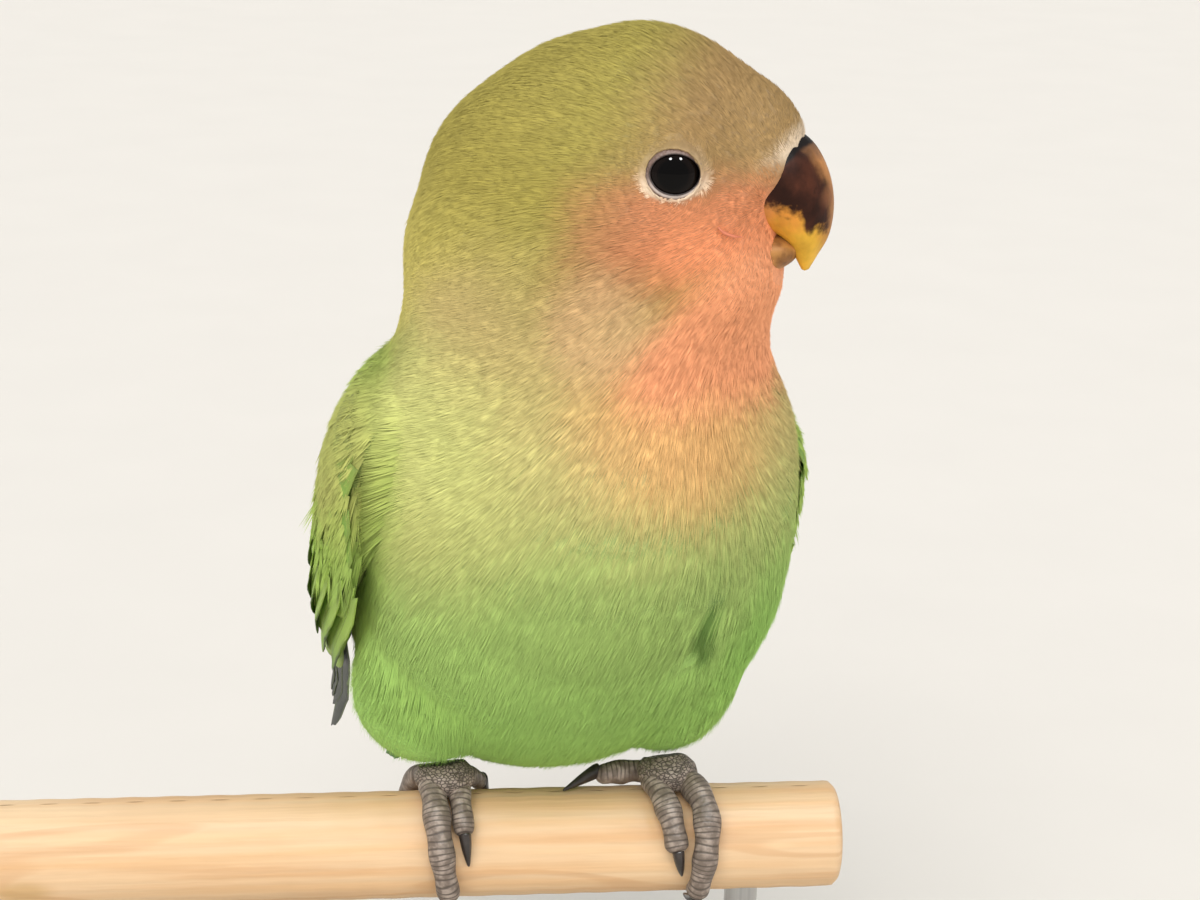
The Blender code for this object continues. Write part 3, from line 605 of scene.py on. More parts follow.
def curved(rows, t):
    """A row read along a smooth curve through a table, with t from 0 to 1."""
    spot = t * (len(rows) - 1)
    i = min(int(spot), len(rows) - 2)
    f = spot - i
    picks = [min(max(j, 0), len(rows) - 1) for j in (i - 1, i, i + 1, i + 2)]
    before, a, b, after = (np.array(rows[j], float) for j in picks)
    slope, bend = 2 * before - 5 * a + 4 * b - after, 3 * a - before - 3 * b + after
    return (0.5 * (2 * a + (b - before) * f + slope * f ** 2 + bend * f ** 3)).tolist()


def spread(pair, share):
    """A number between the two of a pair."""
    return pair[0] + (pair[1] - pair[0]) * share


def smooth(values, low, high):
    """0 at low and 1 at high, with a smooth step between them, for an array."""
    t = np.clip((values - low) / (high - low), 0.0, 1.0)
    return t * t * (3 - 2 * t)


def unit(vectors):
    """Rows of an array as directions of length 1."""
    return vectors / np.maximum(np.linalg.norm(vectors, axis=1, keepdims=True), 1e-12)


def places_of(mesh):
    """The places of a mesh's vertices, one to a row."""
    flat = np.empty(len(mesh.vertices) * 3)
    mesh.vertices.foreach_get("co", flat)
    return flat.reshape(-1, 3)


def normals_of(mesh):
    """The normals of a mesh's vertices, one to a row."""
    flat = np.empty(len(mesh.vertices) * 3)
    mesh.vertex_normals.foreach_get("vector", flat)
    return flat.reshape(-1, 3)


# Skin

def melted_flesh(voxel=0.62 * MM, swell=0.42 * MM):
    """Copies of the fleshy solids, swollen until they touch and melted into one surface."""
    whole = bmesh.new()
    for name in FLESH:
        part = mesh_of(swollen(name, swell), close=False)
        whole.from_mesh(part)
        bpy.data.meshes.remove(part)
    clay = bpy.data.meshes.new("clay")
    whole.to_mesh(clay)
    whole.free()
    return melted(clay, voxel, 8)


def eased(mesh, rounds=90, pull=0.6):
    """The places of a mesh with the creases round the neck and over the thighs smoothed out."""
    places = places_of(mesh)
    ends = np.empty(len(mesh.edges) * 2, np.int32)
    mesh.edges.foreach_get("vertices", ends)
    a, b = ends.reshape(-1, 2).T
    near = np.exp(-(((places[:, 2] - UNDER_BIRD.z) / MM - NECK_HEIGHT) / NECK_REACH) ** 2)
    for side in SIDES.values():
        crease = UNDER_BIRD + Vector((side * THIGH_CREASE[0], *THIGH_CREASE[1:])) * MM
        far = np.linalg.norm(places - np.array(crease), axis=1)
        near = np.maximum(near, np.exp(-(far / (THIGH_REACH * MM)) ** 2))
    joined = np.concatenate((a, b))
    count = np.bincount(joined, minlength=len(places))
    for _ in range(rounds):
        beside = np.concatenate((places[b], places[a]))
        total = [np.bincount(joined, beside[:, k]) for k in range(3)]
        places = places + (np.stack(total, axis=1) / count[:, None] - places) * near[:, None] * pull
    return places


def head_share(places):
    """1 on the head, 0 on the body."""
    height = (places[:, 2] - UNDER_BIRD.z) / MM
    return smooth(height, 52.0, 72.0)


def unwrap(thing):
    """A UV map of the piece's own shape, which its tufts share."""
    thing.data.uv_layers.new(name="OFBake")
    bpy.context.view_layer.objects.active = thing
    thing.select_set(True)
    bpy.ops.object.mode_set(mode="EDIT")
    bpy.ops.mesh.select_all(action="SELECT")
    bpy.ops.uv.smart_project(angle_limit=math.radians(66), island_margin=0.004)
    bpy.ops.object.mode_set(mode="OBJECT")
    thing.select_set(False)


def build_skin():
    """The melted flesh, sunk by the depth of the coat that will cover it."""
    coat = bpy.context.scene.lovebird_coat
    mesh = melted_flesh()
    mesh.vertices.foreach_set("co", eased(mesh).ravel())
    mesh.update()
    places, normals = places_of(mesh), normals_of(mesh)
    share = head_share(places)[:, None]
    depth = coat.body_depth + (coat.head_depth - coat.body_depth) * share
    push = np.zeros(len(places))
    for centre, radius, far in SKIN_PUSHES:
        near = np.linalg.norm(places - np.array(centre), axis=1) / (radius * MM)
        push += far * MM * np.exp(-near ** 2)
    places += normals * (push[:, None] - depth)
    mesh.vertices.foreach_set("co", places.ravel())
    mesh.update()
    finish = Finish("Skin under the coat", roughness=0.8)
    shade = markings(finish, finish.place())
    finish.colour(finish.lit(shade, finish.noise(finish.place(), 900.0) * 0.3 + 0.68))
    finish.bump(finish.noise(finish.place(), 1400.0), 0.0003)
    unwrap(show("skin", mesh, finish, "plumage_green", *FLESH))


def markings(finish, place):
    """The plumage's colours, from places on the bird in metres."""
    tint = bpy.context.scene.lovebird_colours
    ragged = finish.noise(place, 480.0, 3.0) - 0.5
    cloudy = finish.noise(place, 120.0, 2.0) - 0.5
    # Millimetres forwards and up from the head's middle, over the dowel, and along and behind the body
    head = place.less(HEAD_CENTRE)
    forwards = head.along(FORWARDS) * 1000 + ragged * 2.0
    up = head.along(UP) * 1000 + ragged * 2.0
    height = place.less(UNDER_BIRD).along(UP) * 1000 + ragged * 3.0 + cloudy * 5.0
    body = place.less(BODY_CENTRE)
    along = body.along(ALONG) * 1000 + ragged * 3.0
    back = body.along(BACK) * 1000 + ragged * 3.0

    def blob(centre, radii, inner, outer):
        """1 inside an ellipsoid about a place given from the point under the bird, 0 outside."""
        away = place.less(UNDER_BIRD + Vector(centre) * MM).stretched([1 / (r * MM) for r in radii])
        return (away.size() + ragged * 0.2 + cloudy * 0.25).rise(outer, inner)

    # Belly with a painted shadow darkening the fold of its left side, the bright flank of that side,
    # collar, shoulder and breast
    shade = finish.mix(height.rise(14, 50), tint.flank, tint.belly)
    # A painted shadow: dark green in the fold where the left wing meets the belly
    shade = finish.mix(blob((14.3, -16.8, 34.5), (1.5, 6, 4.5), 0.3, 1.15) * 0.85, shade, rgb(84, 120, 50))
    shade = finish.mix(blob((21, -6, 33), (6, 10, 14), 0.3, 1.4) * 0.7, shade, rgb(150, 202, 96))
    collar = finish.mix(back.rise(5, 14) * 0.8, tint.neck, rgb(204, 192, 98))
    shade = finish.mix(height.rise(40, 60), shade, collar)
    shade = finish.mix(blob((-17, -13, 53), (15, 16, 13), 0.3, 1.45), shade, tint.shoulder)
    shade = finish.mix(blob((12, -25, 60), (14, 16, 11), 0.35, 1.3), shade, tint.breast)
    # Crown, mantle, rump, and the coat over wings and their bend
    shade = finish.mix((up + forwards * 0.35).rise(-14, 2), shade, tint.crown)
    shade = finish.mix(back.rise(2, 11) * height.rise(70, 58), shade, tint.mantle)
    shade = finish.mix(back.rise(0, 7) * along.rise(-16, -24), shade, tint.rump)
    wings = abs(body.along(LEFT) * 1000).rise(19, 24) * back.rise(-14, -2) * along.rise(32, 22)
    shade = finish.mix(wings * 0.9, shade, tint.wing)
    bend = place.less(wing_point(SIDES["right"], 20, math.radians(8), 2)).size() * 1000
    shade = finish.mix((bend + ragged * 4.0).rise(14, 5) * 0.75, shade, rgb(184, 180, 106))
    # Forehead, cheek, throat and the pale rim over the bill
    fore = (forwards - up * 0.5).rise(-4, 7) * forwards.rise(-6, 2) * up.rise(-12, 0)
    shade = finish.mix(fore, shade, tint.forehead)
    cheek = forwards.rise(-3, 9) * up.rise(-10, -1) * (up - forwards * 0.02).rise(7.4, 2.4)
    salmon = finish.mix(forwards.rise(5, 14) * up.rise(6.5, -2), tint.cheek, tint.gape)
    shade = finish.mix(cheek * 0.95, shade, salmon)
    throat = (forwards - up * 1.1).rise(16.6, 22.6) * (up + cloudy * 4.0).rise(-21.5, -14.5)
    throat = throat * forwards.rise(3.0, 9.5) * up.rise(5, -1)
    shade = finish.mix(throat, shade, tint.throat)
    rim = ((forwards - 17.6) * 0.77 - (up - 4.2) * 0.64).rise(-1.5, 0.0) * up.rise(5.5, 8)
    shade = finish.mix(rim * 0.85, shade, tint.rim)
    # The paler patch under each cheek and the ring round each eye
    for side in SIDES.values():
        under = place.less(head_point(4.0, side * 12.5, -9.8)).size() * 1000
        shade = finish.mix((under + cloudy * 4.0).rise(8.5, 2.5) * 0.65, shade, rgb(232, 188, 140))
        eye = place.less(head_point(9.9, side * 12.2, 6.1))
        out = eye.along(FORWARDS) * 1000
        above = eye.along(UP) * 1250
        far = (out * out + above * above).square_root() + ragged * 0.7
        near = eye.size().rise(0.012, 0.009)
        ring = far.rise(3.8, 3.1) * (0.15 + above.rise(1.2, -2.2) * 0.8) * near
        shade = finish.mix(ring, shade, tint.eye_ring)
    return shade


# Coat

# A tuft's patch on the unwrap, and the most triangles of one piece of coat
UV_PATCH = 0.0028
PIECE_LIMIT = 190000
# The finest cell that tufts are thinned to, and how many places are tried for each of its size
FINEST_CELL, TRIES = 0.5 * MM, 4
# Half widths of the bare lids behind and before the eye's middle, and their half height
LIDS_BEHIND, LIDS_BEFORE, LIDS_HEIGHT = 3.35, 3.15, 2.6


def lie(places, normals):
    """The way the coat lies: away from the bill, then down and back along the body."""
    start = np.array(head_point(*BILL_ROOT))
    away = places - start
    far = np.linalg.norm(away, axis=1)
    share = smooth(far, 24 * MM, 88 * MM)[:, None] * 0.8
    flow = unit(away) * (1 - share) + (-0.62 * np.array(ALONG) - 0.38 * np.array(UP)) * share
    for shoulder, reach, way in SHOULDER_LIES:
        far = np.linalg.norm(places - np.array(shoulder), axis=1)
        flow += np.exp(-(far / (reach * MM)) ** 2)[:, None] * np.array(way)
    flow = unit(flow - normals * np.sum(flow * normals, axis=1, keepdims=True))
    for side in SIDES.values():
        out = places - np.array(head_point(9.9, side * 12.2, 6.2))
        near = smooth(np.linalg.norm(out, axis=1), 6.5 * MM, 3.8 * MM)[:, None]
        out = unit(out - normals * np.sum(out * normals, axis=1, keepdims=True))
        flow += out * near * np.maximum(0.35 - np.sum(flow * out, axis=1, keepdims=True), 0)
    return unit(flow)


def scatter(mesh, chance, cell):
    """Places spread evenly over a mesh: position, normal and place on its unwrap."""
    mesh.calc_loop_triangles()
    count = len(mesh.loop_triangles)
    corners, loops = np.empty(count * 3, np.int32), np.empty(count * 3, np.int32)
    mesh.loop_triangles.foreach_get("vertices", corners)
    mesh.loop_triangles.foreach_get("loops", loops)
    flat = np.empty(len(mesh.loops) * 2)
    mesh.uv_layers["OFBake"].uv.foreach_get("vector", flat)
    places = places_of(mesh)[corners].reshape(-1, 3, 3)
    normals = normals_of(mesh)[corners].reshape(-1, 3, 3)
    uvs = flat.reshape(-1, 2)[loops].reshape(-1, 3, 2)
    areas = np.linalg.norm(np.cross(places[:, 1] - places[:, 0], places[:, 2] - places[:, 0]), axis=1) / 2
    tries = int(areas.sum() / FINEST_CELL ** 2 * TRIES)
    picks = chance.choice(count, tries, p=areas / areas.sum())
    a, b = chance.random(tries), chance.random(tries)
    fold = a + b > 1
    a[fold], b[fold] = 1 - a[fold], 1 - b[fold]
    weights = np.stack((1 - a - b, a, b), axis=1)[:, :, None]
    spots = (places[picks] * weights).sum(axis=1)
    sizes = cell(spots)
    keys = np.concatenate((np.floor(spots / sizes[:, None]), sizes[:, None] * 1e6), axis=1).astype(np.int64)
    _, kept = np.unique(keys, axis=0, return_index=True)
    outwards = unit((normals[picks[kept]] * weights[kept]).sum(axis=1))
    return spots[kept], outwards, (uvs[picks[kept]] * weights[kept]).sum(axis=1)


def tree_of(*meshes):
    """A search tree over several meshes together."""
    verts, faces = [], []
    for mesh in meshes:
        start = len(verts)
        verts += [vert.co.copy() for vert in mesh.vertices]
        faces += [[start + i for i in face.vertices] for face in mesh.polygons]
    return BVHTree.FromPolygons(verts, faces)


def settled(tree, places, normals, reach):
    """The outermost surface under each place, and its normal."""
    found, turned = places.copy(), normals.copy()
    for i, (place, normal) in enumerate(zip(places, normals)):
        outward = Vector(normal)
        spot, hit, _, _ = tree.ray_cast(Vector(place) + outward * reach, -outward, reach * 2)
        if spot is not None and hit.dot(outward) > 0.1:
            found[i], turned[i] = spot, hit
    return found, unit(turned * 0.6 + normals * 0.4)


def tuft_mesh(name, ends, sides, normals, sizes, strands, chance, uvs):
    """Many tufts as one mesh: each a fan of thin closed strands that run from its root to a point."""
    root, tip = ends[:, :1], ends[:, 1:]
    count = len(root)
    fan = np.linspace(-1, 1, strands)[None, :] + chance.normal(0, 0.2, (count, strands))
    half = sizes["width"][:, None, None] * chance.uniform(0.35, 0.65, (count, strands, 1))
    reach = ((1 - 0.12 * np.abs(fan)) * chance.uniform(0.75, 1.1, (count, strands)))[..., None]
    rise = chance.normal(0, 0.06, (count, strands, 1)) * MM
    out = (sizes["spread"][:, None] * fan)[..., None]
    side, normal = sides[:, None], normals[:, :1]
    foot = root + side * out * 0.35
    point = root + (tip - root) * reach + side * out * (0.35 + 0.65 * reach) + normals[:, 1:] * rise
    verts = np.stack((foot - side * half, foot + side * half, foot + normal * half * 0.8, point), axis=2)
    flat = np.broadcast_to(normal, foot.shape)
    last = np.broadcast_to(normals[:, 1:], foot.shape)
    bent = np.stack((flat - side * 0.55, flat + side * 0.55, flat, last), axis=2)
    faces = np.array([(0, 2, 1), (0, 1, 3), (1, 2, 3), (2, 0, 3)])[None]
    faces = faces + (np.arange(count * strands) * 4)[:, None, None]
    across = ((np.arange(strands) + 0.5) / strands - 0.5)[None, :, None]
    along = np.broadcast_to(np.array([0.0, 0.0, 0.0, 1.0]), (count, strands, 4))
    corner = np.empty((count, strands, 4, 2))
    corner[..., 0] = uvs[:, None, None, 0] + UV_PATCH * (across + np.array([-0.3, 0.3, 0.0, 0.0]) / strands)
    corner[..., 1] = uvs[:, None, None, 1] + UV_PATCH * (along - 0.5)
    mesh = array_mesh(name, verts.reshape(-1, 3), faces.reshape(-1, 3))
    layer = mesh.uv_layers.new(name="OFBake")
    layer.uv.foreach_set("vector", corner.reshape(-1, 2)[faces.ravel()].ravel())
    mesh.attributes.new("along", "FLOAT", "POINT").data.foreach_set("value", np.ravel(along))
    vary = chance.random((count, 1)) * 0.5 + chance.random((count, strands)) * 0.5
    mesh.attributes.new("vary", "FLOAT", "POINT").data.foreach_set("value", np.repeat(vary.ravel(), 4))
    base = np.repeat(root[:, 0], strands * 4, axis=0)
    mesh.attributes.new("root", "FLOAT_VECTOR", "POINT").data.foreach_set("vector", base.ravel())
    mesh.shade_smooth()
    mesh.normals_split_custom_set_from_vertices(unit(bent.reshape(-1, 3)))
    return mesh


def grown(tree, roots, normals, size, lift, ways, chance, reach=7 * MM):
    """Ends, sideways directions and normals of tufts that start at their roots and follow the surface."""
    way = unit(ways(roots, normals) + chance.normal(0, 0.06, roots.shape))
    middle, turned = settled(tree, roots + way * size[:, None] / 2, normals, reach)
    second = unit(ways(middle, turned) + chance.normal(0, 0.04, roots.shape))
    tip, last = settled(tree, middle + second * size[:, None] / 2, turned, reach)
    ends = np.stack((roots - normals * 0.1 * MM, tip + last * lift[:, None]), axis=1)
    return ends, unit(np.cross(turned, second)), np.stack((normals, last), axis=1)


def chosen(some, *arrays):
    """The same rows of several arrays."""
    return [array[some] for array in arrays]


def add_tufts(name, finish, slot, strands, chance, *arrays):
    """Tufts as pieces of fewer than 200,000 triangles each."""
    parts = max(1, math.ceil(len(arrays[0]) * strands * 4 / PIECE_LIMIT))
    for k, some in enumerate(np.array_split(np.arange(len(arrays[0])), parts)):
        ends, sides, normals, uvs, width, fan = chosen(some, *arrays)
        mesh = tuft_mesh(name, ends, sides, normals, {"width": width, "spread": fan}, strands, chance, uvs)
        show(name if parts == 1 else f"{name}_{k + 1}", mesh, finish, slot)


def array_mesh(name, places, triangles):
    """A mesh of triangles from two arrays."""
    mesh = bpy.data.meshes.new(name)
    mesh.vertices.add(len(places))
    mesh.vertices.foreach_set("co", places.ravel())
    mesh.loops.add(triangles.size)
    mesh.loops.foreach_set("vertex_index", triangles.ravel().astype(np.int32))
    mesh.polygons.add(len(triangles))
    mesh.polygons.foreach_set("loop_start", np.arange(0, triangles.size, 3, dtype=np.int32))
    mesh.update(calc_edges=True)
    return mesh


def coat_finish():
    """Tufts in the colour of the skin at their root, paler to the tip, each a little different."""
    finish = Finish("Plumage", roughness=0.75, specular_ior_level=0.25)
    shade = markings(finish, finish.attribute("root", "Vector"))
    along, vary = finish.attribute("along"), finish.attribute("vary")
    height = finish.attribute("root", "Vector").less(UNDER_BIRD).along(UP) * 1000
    # Tufts differ more on the breast and head than on the belly
    uneven = height.rise(30, 66) * 0.20 + 0.20
    light = (0.86 + along.rise(0.0, 0.55) * 0.18) * ((vary - 0.45) * uneven + 1.0)
    finish.colour(finish.lit(shade, light))
    return finish


def off_lids(places):
    """How far places lie outside the bare lids: under 1 within them."""
    far = np.full(len(places), 9.0)
    for name in SIDES:
        middle, radius, turn = eye_seat(name)
        across, above, out = ((places - np.array(middle)) @ np.array(turn) / MM).T
        here = np.hypot(across / np.where(across < 0, LIDS_BEHIND, LIDS_BEFORE), above / LIDS_HEIGHT)
        far = np.where(out > 0, np.minimum(far, here), far)
    return far


def build_coat():
    """Tufts over all the skin that shows, finest round eyes and bill, longest on the belly."""
    coat = bpy.context.scene.lovebird_coat
    chance = np.random.default_rng(coat.seed)
    skin = bpy.data.objects["skin"].data
    shells = [bpy.data.objects[f"wing_arm_{name}"].data for name in SIDES]
    tails = [bpy.data.objects["tail_root"].data]
    bare = [bpy.data.objects[name].data for name in ("bill_upper", "bill_lower", "eye_right", "eye_left")]
    bird = tree_of(skin, *shells, *tails)
    covers = tree_of(*shells, *tails, *bare)
    eyes = [np.array(head_point(9.4, side * 12.0, 5.7)) for side in SIDES.values()]
    bill = np.array(head_point(*BILL_ROOT))

    def face(places):
        near = np.min([np.linalg.norm(places - eye, axis=1) for eye in eyes], axis=0)
        at_bill = np.linalg.norm(places - bill, axis=1)
        return np.maximum(smooth(near, 9 * MM, 4 * MM), smooth(at_bill, 17 * MM, 8 * MM))

    def cell(places):
        size = 0.62 - 0.1 * head_share(places) - 0.1 * face(places)
        height = (places[:, 2] - UNDER_BIRD.z) / MM
        behind = ((places - np.array(BODY_CENTRE)) @ np.array(BACK)) / MM
        size = np.where((behind > 3) & (height < 58), 0.9, size)
        # In steps of 0.04, so that tufts near each other share one grid
        return np.round(size / 0.04) * 0.04 * MM

    roots, normals, uvs = scatter(skin, chance, cell)
    # No tufts on the lids, nor under the wings, tail, bill and eyes
    shown = off_lids(roots) > 1
    shown &= np.array([
        covers.ray_cast(Vector(root) - Vector(normal) * 0.2 * MM, Vector(normal), 5 * MM)[0] is None
        for root, normal in zip(roots, normals)])
    roots, normals, uvs = chosen(shown, roots, normals, uvs)
    # Round the eyes the normals turn away from the head's middle
    for eye in eyes:
        out = unit(np.array([eye - np.array(HEAD_CENTRE) - 5 * MM * np.array(FORWARDS)]))
        near = smooth(np.linalg.norm(roots - eye, axis=1), 5 * MM, 3 * MM)[:, None]
        normals = unit(normals + out * near * 1.5)
    head, near = head_share(roots), face(roots)
    height = (roots[:, 2] - UNDER_BIRD.z) / MM
    behind = ((roots - np.array(BODY_CENTRE)) @ np.array(BACK)) / MM
    size = coat.body_length * (1 - 0.42 * smooth(height, 34, 56)) * (1 - head) + coat.head_length * head
    size = size + (coat.face_length - size) * near
    size *= 1 - 0.42 * smooth(off_lids(roots), 1.6, 1.05)
    size = size * chance.uniform(0.8, 1.15, len(size))
    lift = 0.06 * size * chance.uniform(0.6, 1.3, len(size)) + 0.14 * MM
    width = coat.strand_width * (1 - 0.15 * head - 0.2 * near)
    spots = (*grown(bird, roots, normals, size, lift, lie, chance), uvs, width, 0.34 * MM + 0.05 * size)
    finish = coat_finish()
    groups = {
        "coat_face": (near > 0.25, 5),
        "coat_crown": ((near <= 0.25) & (head > 0.5), 6),
        "coat_neck": ((near <= 0.25) & (head <= 0.5) & (height > 46), 7),
        "coat_breast": ((near <= 0.25) & (height <= 46) & (height > 28) & (behind < 3), 8),
        "coat_belly": ((near <= 0.25) & (height <= 28) & (behind < 3), 8),
        "coat_back": ((near <= 0.25) & (head <= 0.5) & (height <= 46) & (behind >= 3), 5),
    }
    for name, (mask, strands) in groups.items():
        add_tufts(name, finish, "plumage_green", strands, chance, *chosen(mask, *spots))


def build_wing_coat():
    """Short tufts over the fronts of the wings and the mantle."""
    coat = bpy.context.scene.lovebird_coat
    finish = bpy.data.objects["coat_face"].data.materials[0]
    for name, side in SIDES.items():
        chance = np.random.default_rng(coat.seed + 1)
        arm = bpy.data.objects[f"wing_arm_{name}"].data
        tiers = [thing.data for thing in bpy.data.objects if thing.name.endswith(f"s_{name}")]
        tree = tree_of(arm, *(mesh for mesh in tiers if mesh.uv_layers.get("Vane")))
        roots, normals, uvs = scatter(arm, chance, lambda places: np.full(len(places), 0.62 * MM))
        from_body = roots - np.array(BODY_CENTRE)
        along, left = from_body @ np.array(ALONG) / MM, side * (from_body @ np.array(LEFT)) / MM
        angle = np.degrees(np.arctan2(from_body @ np.array(BACK) / MM, left))
        outward = np.sum(normals * from_body, axis=1) > 0
        front = smooth(angle, 16, -6) * (26 if side > 0 else 9)
        border = 14 - front - 14 * smooth(angle, 48, 76) + chance.normal(0, 1.5, len(roots))
        kept = outward & (along > border)
        roots, normals, uvs, along, border = chosen(kept, roots, normals, uvs, along, border)
        roots, normals = settled(tree, roots, normals, 6 * MM)
        size = (3.2 + 2.6 * smooth(along - border, 14, 2)) * MM * chance.uniform(0.8, 1.2, len(roots))

        def ways(places, outwards):
            flow = np.tile(-np.array(ALONG) - 0.12 * np.array(UP), (len(places), 1))
            return unit(flow - outwards * np.sum(flow * outwards, axis=1, keepdims=True))

        lift = chance.uniform(0.3, 0.6, len(roots)) * MM
        spots = grown(tree, roots, normals, size, lift, ways, chance, 2.5 * MM)
        width, fan = np.full(len(roots), coat.strand_width), 0.3 * MM + 0.05 * size
        add_tufts(f"coat_wing_{name}", finish, "plumage_wing", 7, chance, *spots, uvs, width, fan)


# Wings and tail

def wing_point(side, along, angle, height):
    """A place on a wing's sheet. Angles run from straight sideways to the back."""
    width, depth, offset = between(WING_SHEET, along)
    # The right wing's bend stands out from the breast and the left one's is pressed to it
    front = min(max((along - 2) / 20, 0.0), 1.0)
    height += 1.5 * front * max(0.0, math.cos(angle)) * -side
    reach = 1 / math.hypot(math.cos(angle) / width, math.sin(angle) / depth) + height
    return body_point(along, side * reach * math.cos(angle), offset + reach * math.sin(angle))


def wing_arm(side):
    """The closed, rounded arm that all rows of a wing grow from."""
    middle, span = (SHELL_LOW + SHELL_HIGH) / 2, SHELL_HIGH - SHELL_LOW

    def place(u, v):
        ring, share = math.tau * u, v
        narrow = math.sin(math.pi * (0.04 + 0.92 * share)) ** 0.5
        edge = math.cos(ring)
        thick = math.sin(ring)
        angle = middle + edge * span * 0.5 * narrow
        bulge = (1.9 if thick > 0 else 4.0) * abs(thick) ** 0.8 * math.copysign(1, thick) * narrow
        drop = 2.2 * max(0.0, 1 - 3 * share) ** 2
        along = SHELL_FRONT + (SHELL_REAR - SHELL_FRONT) * share
        pinch = opening(v)
        return wing_point(side, along, middle + (angle - middle) * pinch, bulge * pinch - 0.2 - drop)

    bm = bmesh.new()
    sheet(bm, 40, 24, place)
    return mesh_of(bm)


def vane_width(v, point):
    """How wide a feather is along its length, with a round or a pointed end."""
    start = min(1.0, 0.45 + 2.2 * v)
    end = math.sqrt(max(0.0, 1 - max(0.0, (v - 0.62) / 0.38) ** (2.6 - point)))
    return max(0.04, start * end)


def add_vane(bm, place, half_width, chance, point, vary):
    """One feather: barbs that sweep to its tip, a raised shaft, and a split or two in its edge."""
    splits = []
    for _ in range(2):
        splits.append((chance.uniform(0.45, 0.95), chance.choice((-1, 1)), chance.uniform(0.1, 0.35)))

    def spot(u, v):
        across = 2 * u - 1
        t = v - 0.05 * abs(across) ** 1.5 * (1 - v) - 0.03 * abs(across) ** 2 * v
        reach = half_width * vane_width(v, point)
        for at, edge, deep in splits:
            if across * edge > 0.5:
                reach *= 1 - deep * max(0.0, 1 - abs(v - at) / 0.05)
        shaft = 0.14 * (1 - v) if abs(across) < 0.05 else 0.0
        return place(t, across * reach, shaft - 0.10 * (across * half_width) ** 2 / half_width)

    sheet(bm, 8, 16, spot, vary=vary)


def wing_feathers(side, tier, chance):
    """One row of a wing's feathers, from the outermost to the one next to the back."""
    bm = bmesh.new()
    for k in range(tier["count"]):
        share = k / (tier["count"] - 1)
        loose = 0.3 if tier["length"][0] > 20 else 1.1
        start = tier["root"][0] + tier["root"][1] * k + chance.uniform(-loose, loose)
        size = (tier["length"][0] + tier["length"][1] * k) * chance.uniform(0.94, 1.03)
        jitter = math.radians(chance.uniform(-1.2, 1.2))
        low = math.radians(spread(tier["root_angles"], share))
        high = math.radians(spread(tier["tip_angles"], share)) + jitter
        heights = [tier[key][0] + tier[key][1] * k for key in ("height", "tip_height")]

        def place(t, across, up):
            along = start - size * t
            angle = low + (high - low) * t
            width, depth, _ = between(WING_SHEET, along)
            reach = 1 / math.hypot(math.cos(angle) / width, math.sin(angle) / depth)
            lift = spread(heights, t) - tier["sink"] * across / tier["half_width"]
            return wing_point(side, along, angle + across / reach, lift + up)

        point = 0.9 if size > 30 else tier.get("point", 0.3)
        add_vane(bm, place, tier["half_width"], chance, point, share)
    return thin(bm)


def thin(bm, thickness=0.12 * MM):
    """The feathers of a bmesh with a little thickness."""
    made = bpy.data.meshes.new("vanes")
    bmesh.ops.recalc_face_normals(bm, faces=bm.faces)
    bm.to_mesh(made)
    bm.free()
    return modified(made, ("SOLIDIFY", {"thickness": thickness, "offset": 0.0}))


def vane_finish(name, shade_of, roughness=0.5):
    """Feathers with a shaft, fine barbs that sweep to the tip, and webs whose colour shade_of gives."""
    finish = Finish(name, roughness=roughness, specular_ior_level=0.2)
    web = finish.uv("Vane")
    across, along = finish.part(web, 0) - 0.5, finish.part(web, 1)
    vary = finish.attribute("vary")
    reach = abs(across)
    shade = shade_of(finish, across, along, vary)
    barbs = ((along + reach * -0.5) * 260.0).wave() * 0.5 + 0.5
    broken = finish.noise(finish.place(), 700.0, 3.0)
    light = (0.82 + barbs * 0.16 + broken * 0.2) * (0.94 + vary * 0.1)
    shaft = reach.rise(0.03, 0.01)
    shade = finish.mix(shaft * 0.35, finish.lit(shade, light), rgb(90, 88, 52))
    finish.colour(shade)
    finish.bump(barbs * 0.5 + broken * 0.5 + shaft, 0.00012)
    return finish


# Colours of a feather, from places across it (-0.5 to 0.5) and along it (0 to 1), and its own number

def covert_shade(finish, across, along, vary):
    tint = bpy.context.scene.lovebird_colours
    shade = finish.mix(along.rise(0.3, 0.95) * 0.8, tint.wing_low, tint.wing)
    edge = abs(across).rise(0.36, 0.5).at_least(along.rise(0.9, 1.0))
    shade = finish.mix(edge * 0.3, shade, rgb(176, 186, 104))
    bend = finish.place().less(wing_point(SIDES["right"], 25, math.radians(14), 2)).size() * 1000
    return finish.mix(bend.rise(13, 4) * 0.6, shade, rgb(166, 150, 92))


def edge_shade(finish, across, along, vary):
    tint = bpy.context.scene.lovebird_colours
    shade = finish.mix(along.rise(0.4, 0.95), tint.wing, rgb(136, 176, 78))
    shade = finish.mix(across.rise(-0.3, -0.45) * along.rise(0.4, 0.7) * 0.8, shade, rgb(48, 66, 34))
    return finish.mix(across.rise(0.3, 0.5) * 0.4, shade, rgb(178, 190, 104))


def flight_shade(finish, across, along, vary):
    tint = bpy.context.scene.lovebird_colours
    web = finish.mix(along.rise(0.55, 1.0), tint.wing_low, rgb(58, 84, 46))
    shade = finish.mix(across.rise(0.02, -0.1) * vary.rise(0.95, 0.5), web, tint.flight)
    return finish.mix(abs(across).rise(0.44, 0.5) * 0.35, shade, rgb(150, 170, 96))


def secondary_shade(finish, across, along, vary):
    tint = bpy.context.scene.lovebird_colours
    shade = finish.mix(along.rise(0.3, 1.0), tint.wing_low, tint.wing)
    return finish.mix(across.rise(0.2, 0.45) * 0.5, shade, tint.flight)


